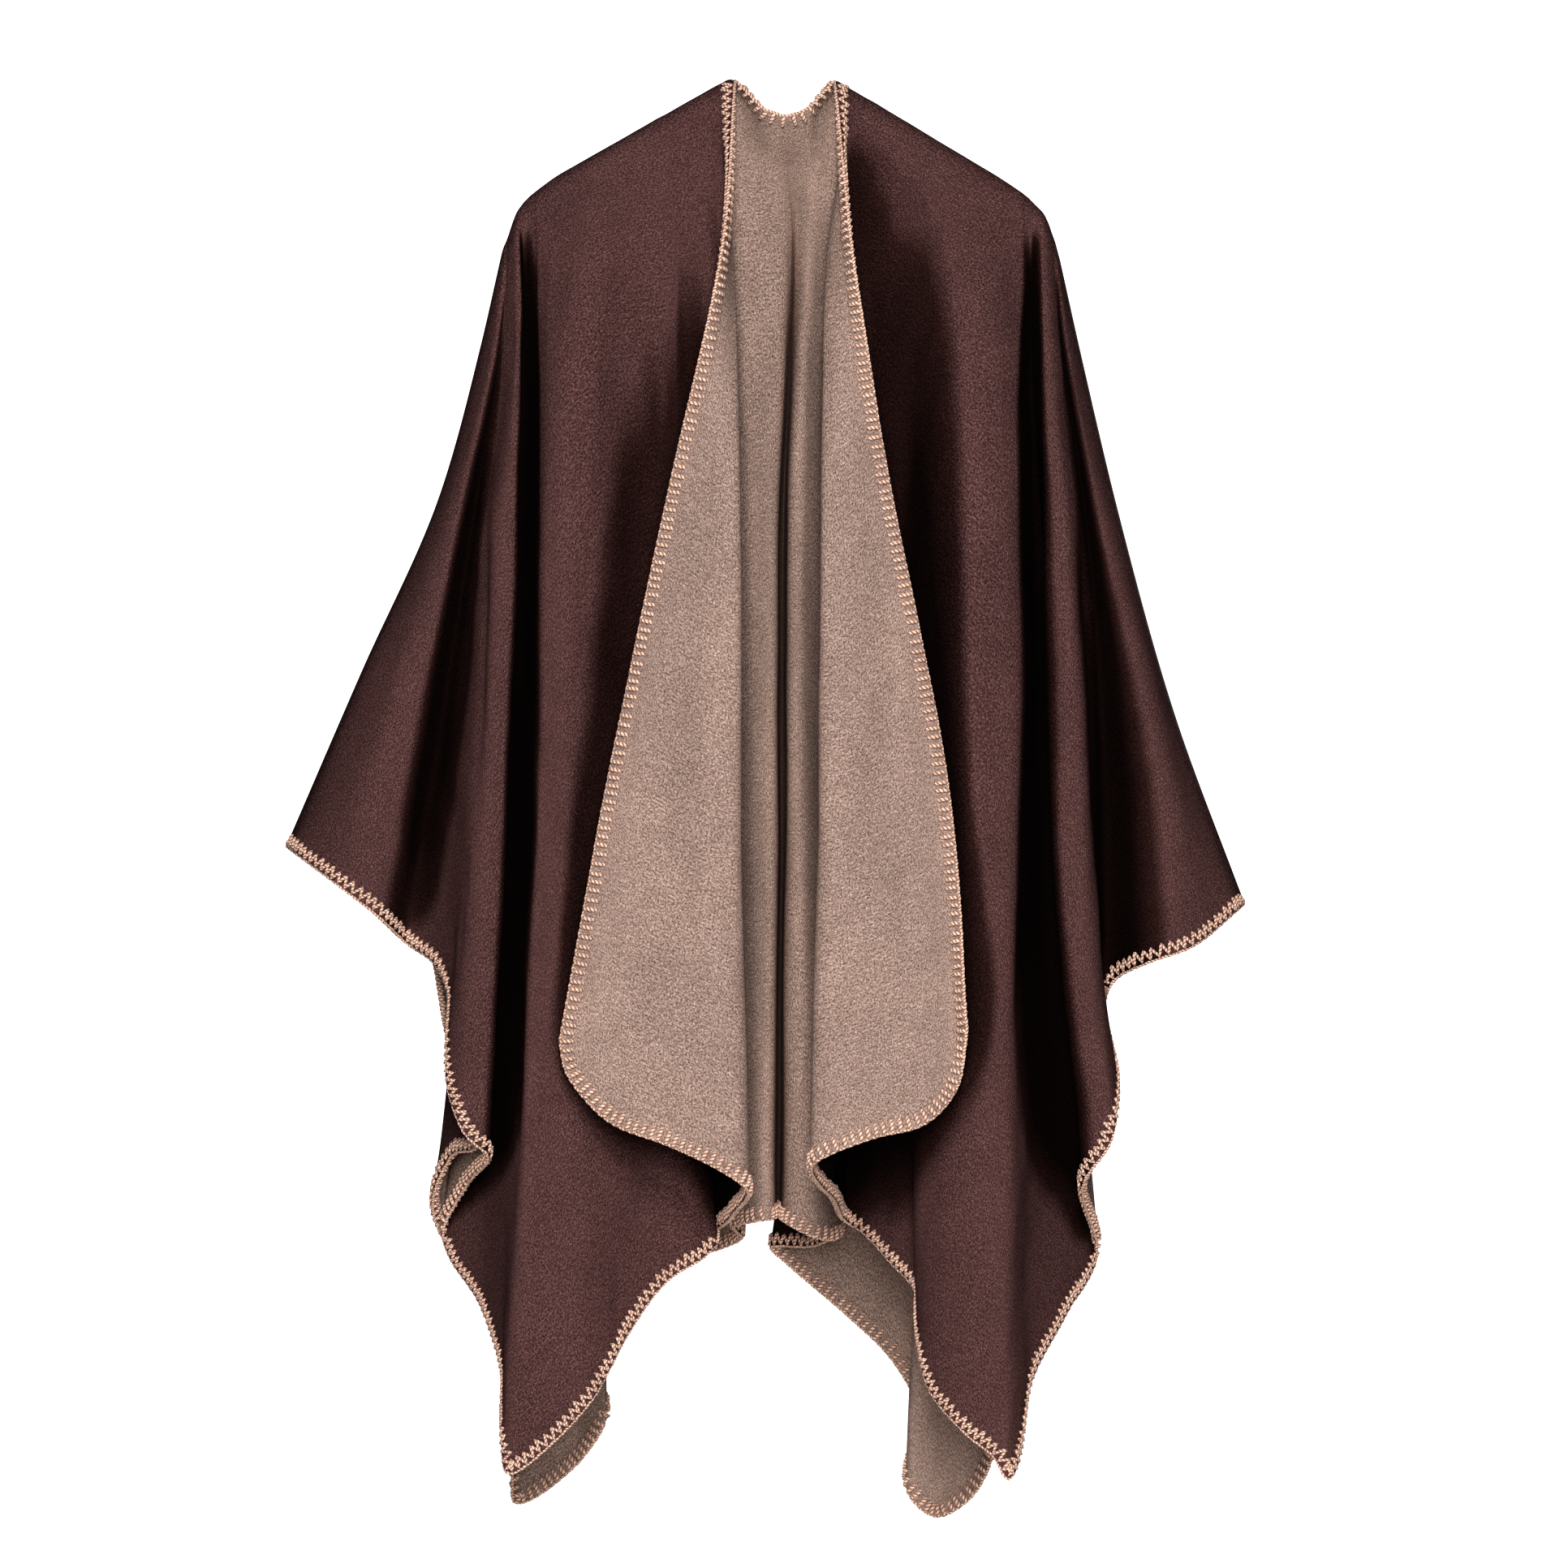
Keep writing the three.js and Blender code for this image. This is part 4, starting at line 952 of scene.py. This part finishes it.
outer_cloth = brushed_cloth(
    "outer_cloth",
    dark=(0.049, 0.0250, 0.0245), middle=(0.098, 0.0530, 0.0505), light=(0.180, 0.106, 0.100),
    fleck=(0.26, 0.17, 0.15), sheen=0.0, tint=(1.0, 0.75, 0.75),
    # Painted shade: darker the more the cloth is shut in by its folds
    deep=((0.15, (1, 1, 1)), (0.32, (0.35, 0.31, 0.29)), (0.56, (0.12, 0.105, 0.095))),
)
inner_cloth = brushed_cloth(
    "inner_cloth",
    dark=(0.165, 0.115, 0.095), middle=(0.345, 0.258, 0.218), light=(0.52, 0.41, 0.36),
    fleck=(0.105, 0.066, 0.053), sheen=0.02, tint=(1.0, 0.9, 0.85),
    # Painted light and shade: open places a little darker, half shut ones a little lighter, the
    # deepest folds much darker
    deep=(
        (0.08, (0.93, 0.92, 0.91)), (0.3, (1.06, 1.05, 1.03)),
        (0.56, (1.02, 0.98, 0.95)), (0.84, (0.42, 0.36, 0.33)),
    ),
)
edge_yarn = twisted_yarn(
    "edge_yarn",
    base=(0.80, 0.575, 0.465), groove_shade=(0.33, 0.175, 0.125), lit=(0.864, 0.621, 0.5022),
)

left = Panel("front_cloth_left", LEFT_FRONT, -1, 1)
right = Panel("front_cloth_right", RIGHT_FRONT, -1, -1)
behind = Panel("back_cloth", BACK, 1, 1)

# The three panels are one cloth, so they share one line along the fold
fold = np.concatenate([left.points[::-1, 0], right.points[:, 0]])
on_fold = np.abs(behind.points[:, 0, 1]) < ON_FOLD
behind.points[on_fold, 0, 2] = np.interp(behind.points[on_fold, 0, 0], fold[:, 0], fold[:, 2])
behind.turn_out()

for panel in (left, right, behind):
    panel.lift(relief(panel))
# How shut in each point is, painted later into the cloth's colour as shade in the folds
fold_shelter((left, right, behind))

for panel, node, flat in (
    (left, "front_left", (0.65, 0.741)),
    (right, "front_right", (0.65, 0.741)),
    (behind, "back", (1.3, 0.765)),
):
    shell = cloth(panel, (outer_cloth, inner_cloth))
    if panel is behind:
        edges = [edge_of_hem(panel), edge_of_neck(panel, "left ridge", "right ridge front")]
    else:
        edges = [edge_of_front(panel)]
    stitches = yarn(panel.name.replace("cloth", "edge_yarn"), edges, edge_yarn)
    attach(shell, "root")
    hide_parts(node)
    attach(stitches, "root")

# Camera with a long lens, level with the middle of the cloth
camera = in_scene("camera", bpy.data.cameras.new("camera"))
camera.data.sensor_width = SENSOR
camera.data.lens = SENSOR * CAMERA_FAR / (FRAME_SIDE * GRID / 1000)
camera.location = (
    (FRAME_SIDE / 2 - GRID_CENTRE) * GRID / 1000,
    -CAMERA_FAR - CAMERA_BACK,
    (GRID_TOP - FRAME_SIDE / 2) * GRID / 1000,
)
camera.rotation_euler = (np.pi / 2, 0, 0)
camera.data.clip_end = 60
bpy.context.scene.camera = camera

for name, place, aim, size, power in LIGHTS:
    light = in_scene(name, bpy.data.lights.new(name, "AREA"))
    light.data.shape = "RECTANGLE"
    light.data.size, light.data.size_y = size
    light.data.energy = power
    light.location = place
    light.rotation_euler = (Vector(aim) - Vector(place)).to_track_quat("-Z", "Y").to_euler()

# A pale floor, well below the cloth
turn = np.arange(FLOOR_SIDES) / FLOOR_SIDES * 2 * np.pi
rim = np.stack([np.cos(turn), np.sin(turn)], axis=-1) * FLOOR_RADIUS
floor_mesh = bpy.data.meshes.new("floor")
floor_mesh.from_pydata([(x, y, FLOOR_HEIGHT) for x, y in rim], [], [tuple(range(FLOOR_SIDES))])
pale = bpy.data.materials.new("pale_floor")
pale.use_nodes = True
pale.node_tree.nodes["Principled BSDF"].inputs["Base Color"].default_value = (0.9, 0.9, 0.89, 1)
pale.node_tree.nodes["Principled BSDF"].inputs["Roughness"].default_value = 0.8
floor_mesh.materials.append(pale)
in_scene("floor", floor_mesh)

# A white surround for the eye and a fainter one for the light
world = bpy.data.worlds.new("studio")
bpy.context.scene.world = world
world.use_nodes = True
tree = world.node_tree
seen = tree.nodes["Background"]
seen.inputs["Color"].default_value = (1, 1, 1, 1)
seen.inputs["Strength"].default_value = 1.0
faint = tree.nodes.new("ShaderNodeBackground")
faint.inputs["Color"].default_value = (1, 1, 1, 1)
faint.inputs["Strength"].default_value = 0.07
path = tree.nodes.new("ShaderNodeLightPath")
blend = tree.nodes.new("ShaderNodeMixShader")
tree.links.new(path.outputs["Is Camera Ray"], blend.inputs[0])
tree.links.new(faint.outputs[0], blend.inputs[1])
tree.links.new(seen.outputs[0], blend.inputs[2])
tree.links.new(blend.outputs[0], tree.nodes["World Output"].inputs["Surface"])

scene = bpy.context.scene
scene.view_settings.view_transform = "Standard"
scene.view_settings.look = "High Contrast"
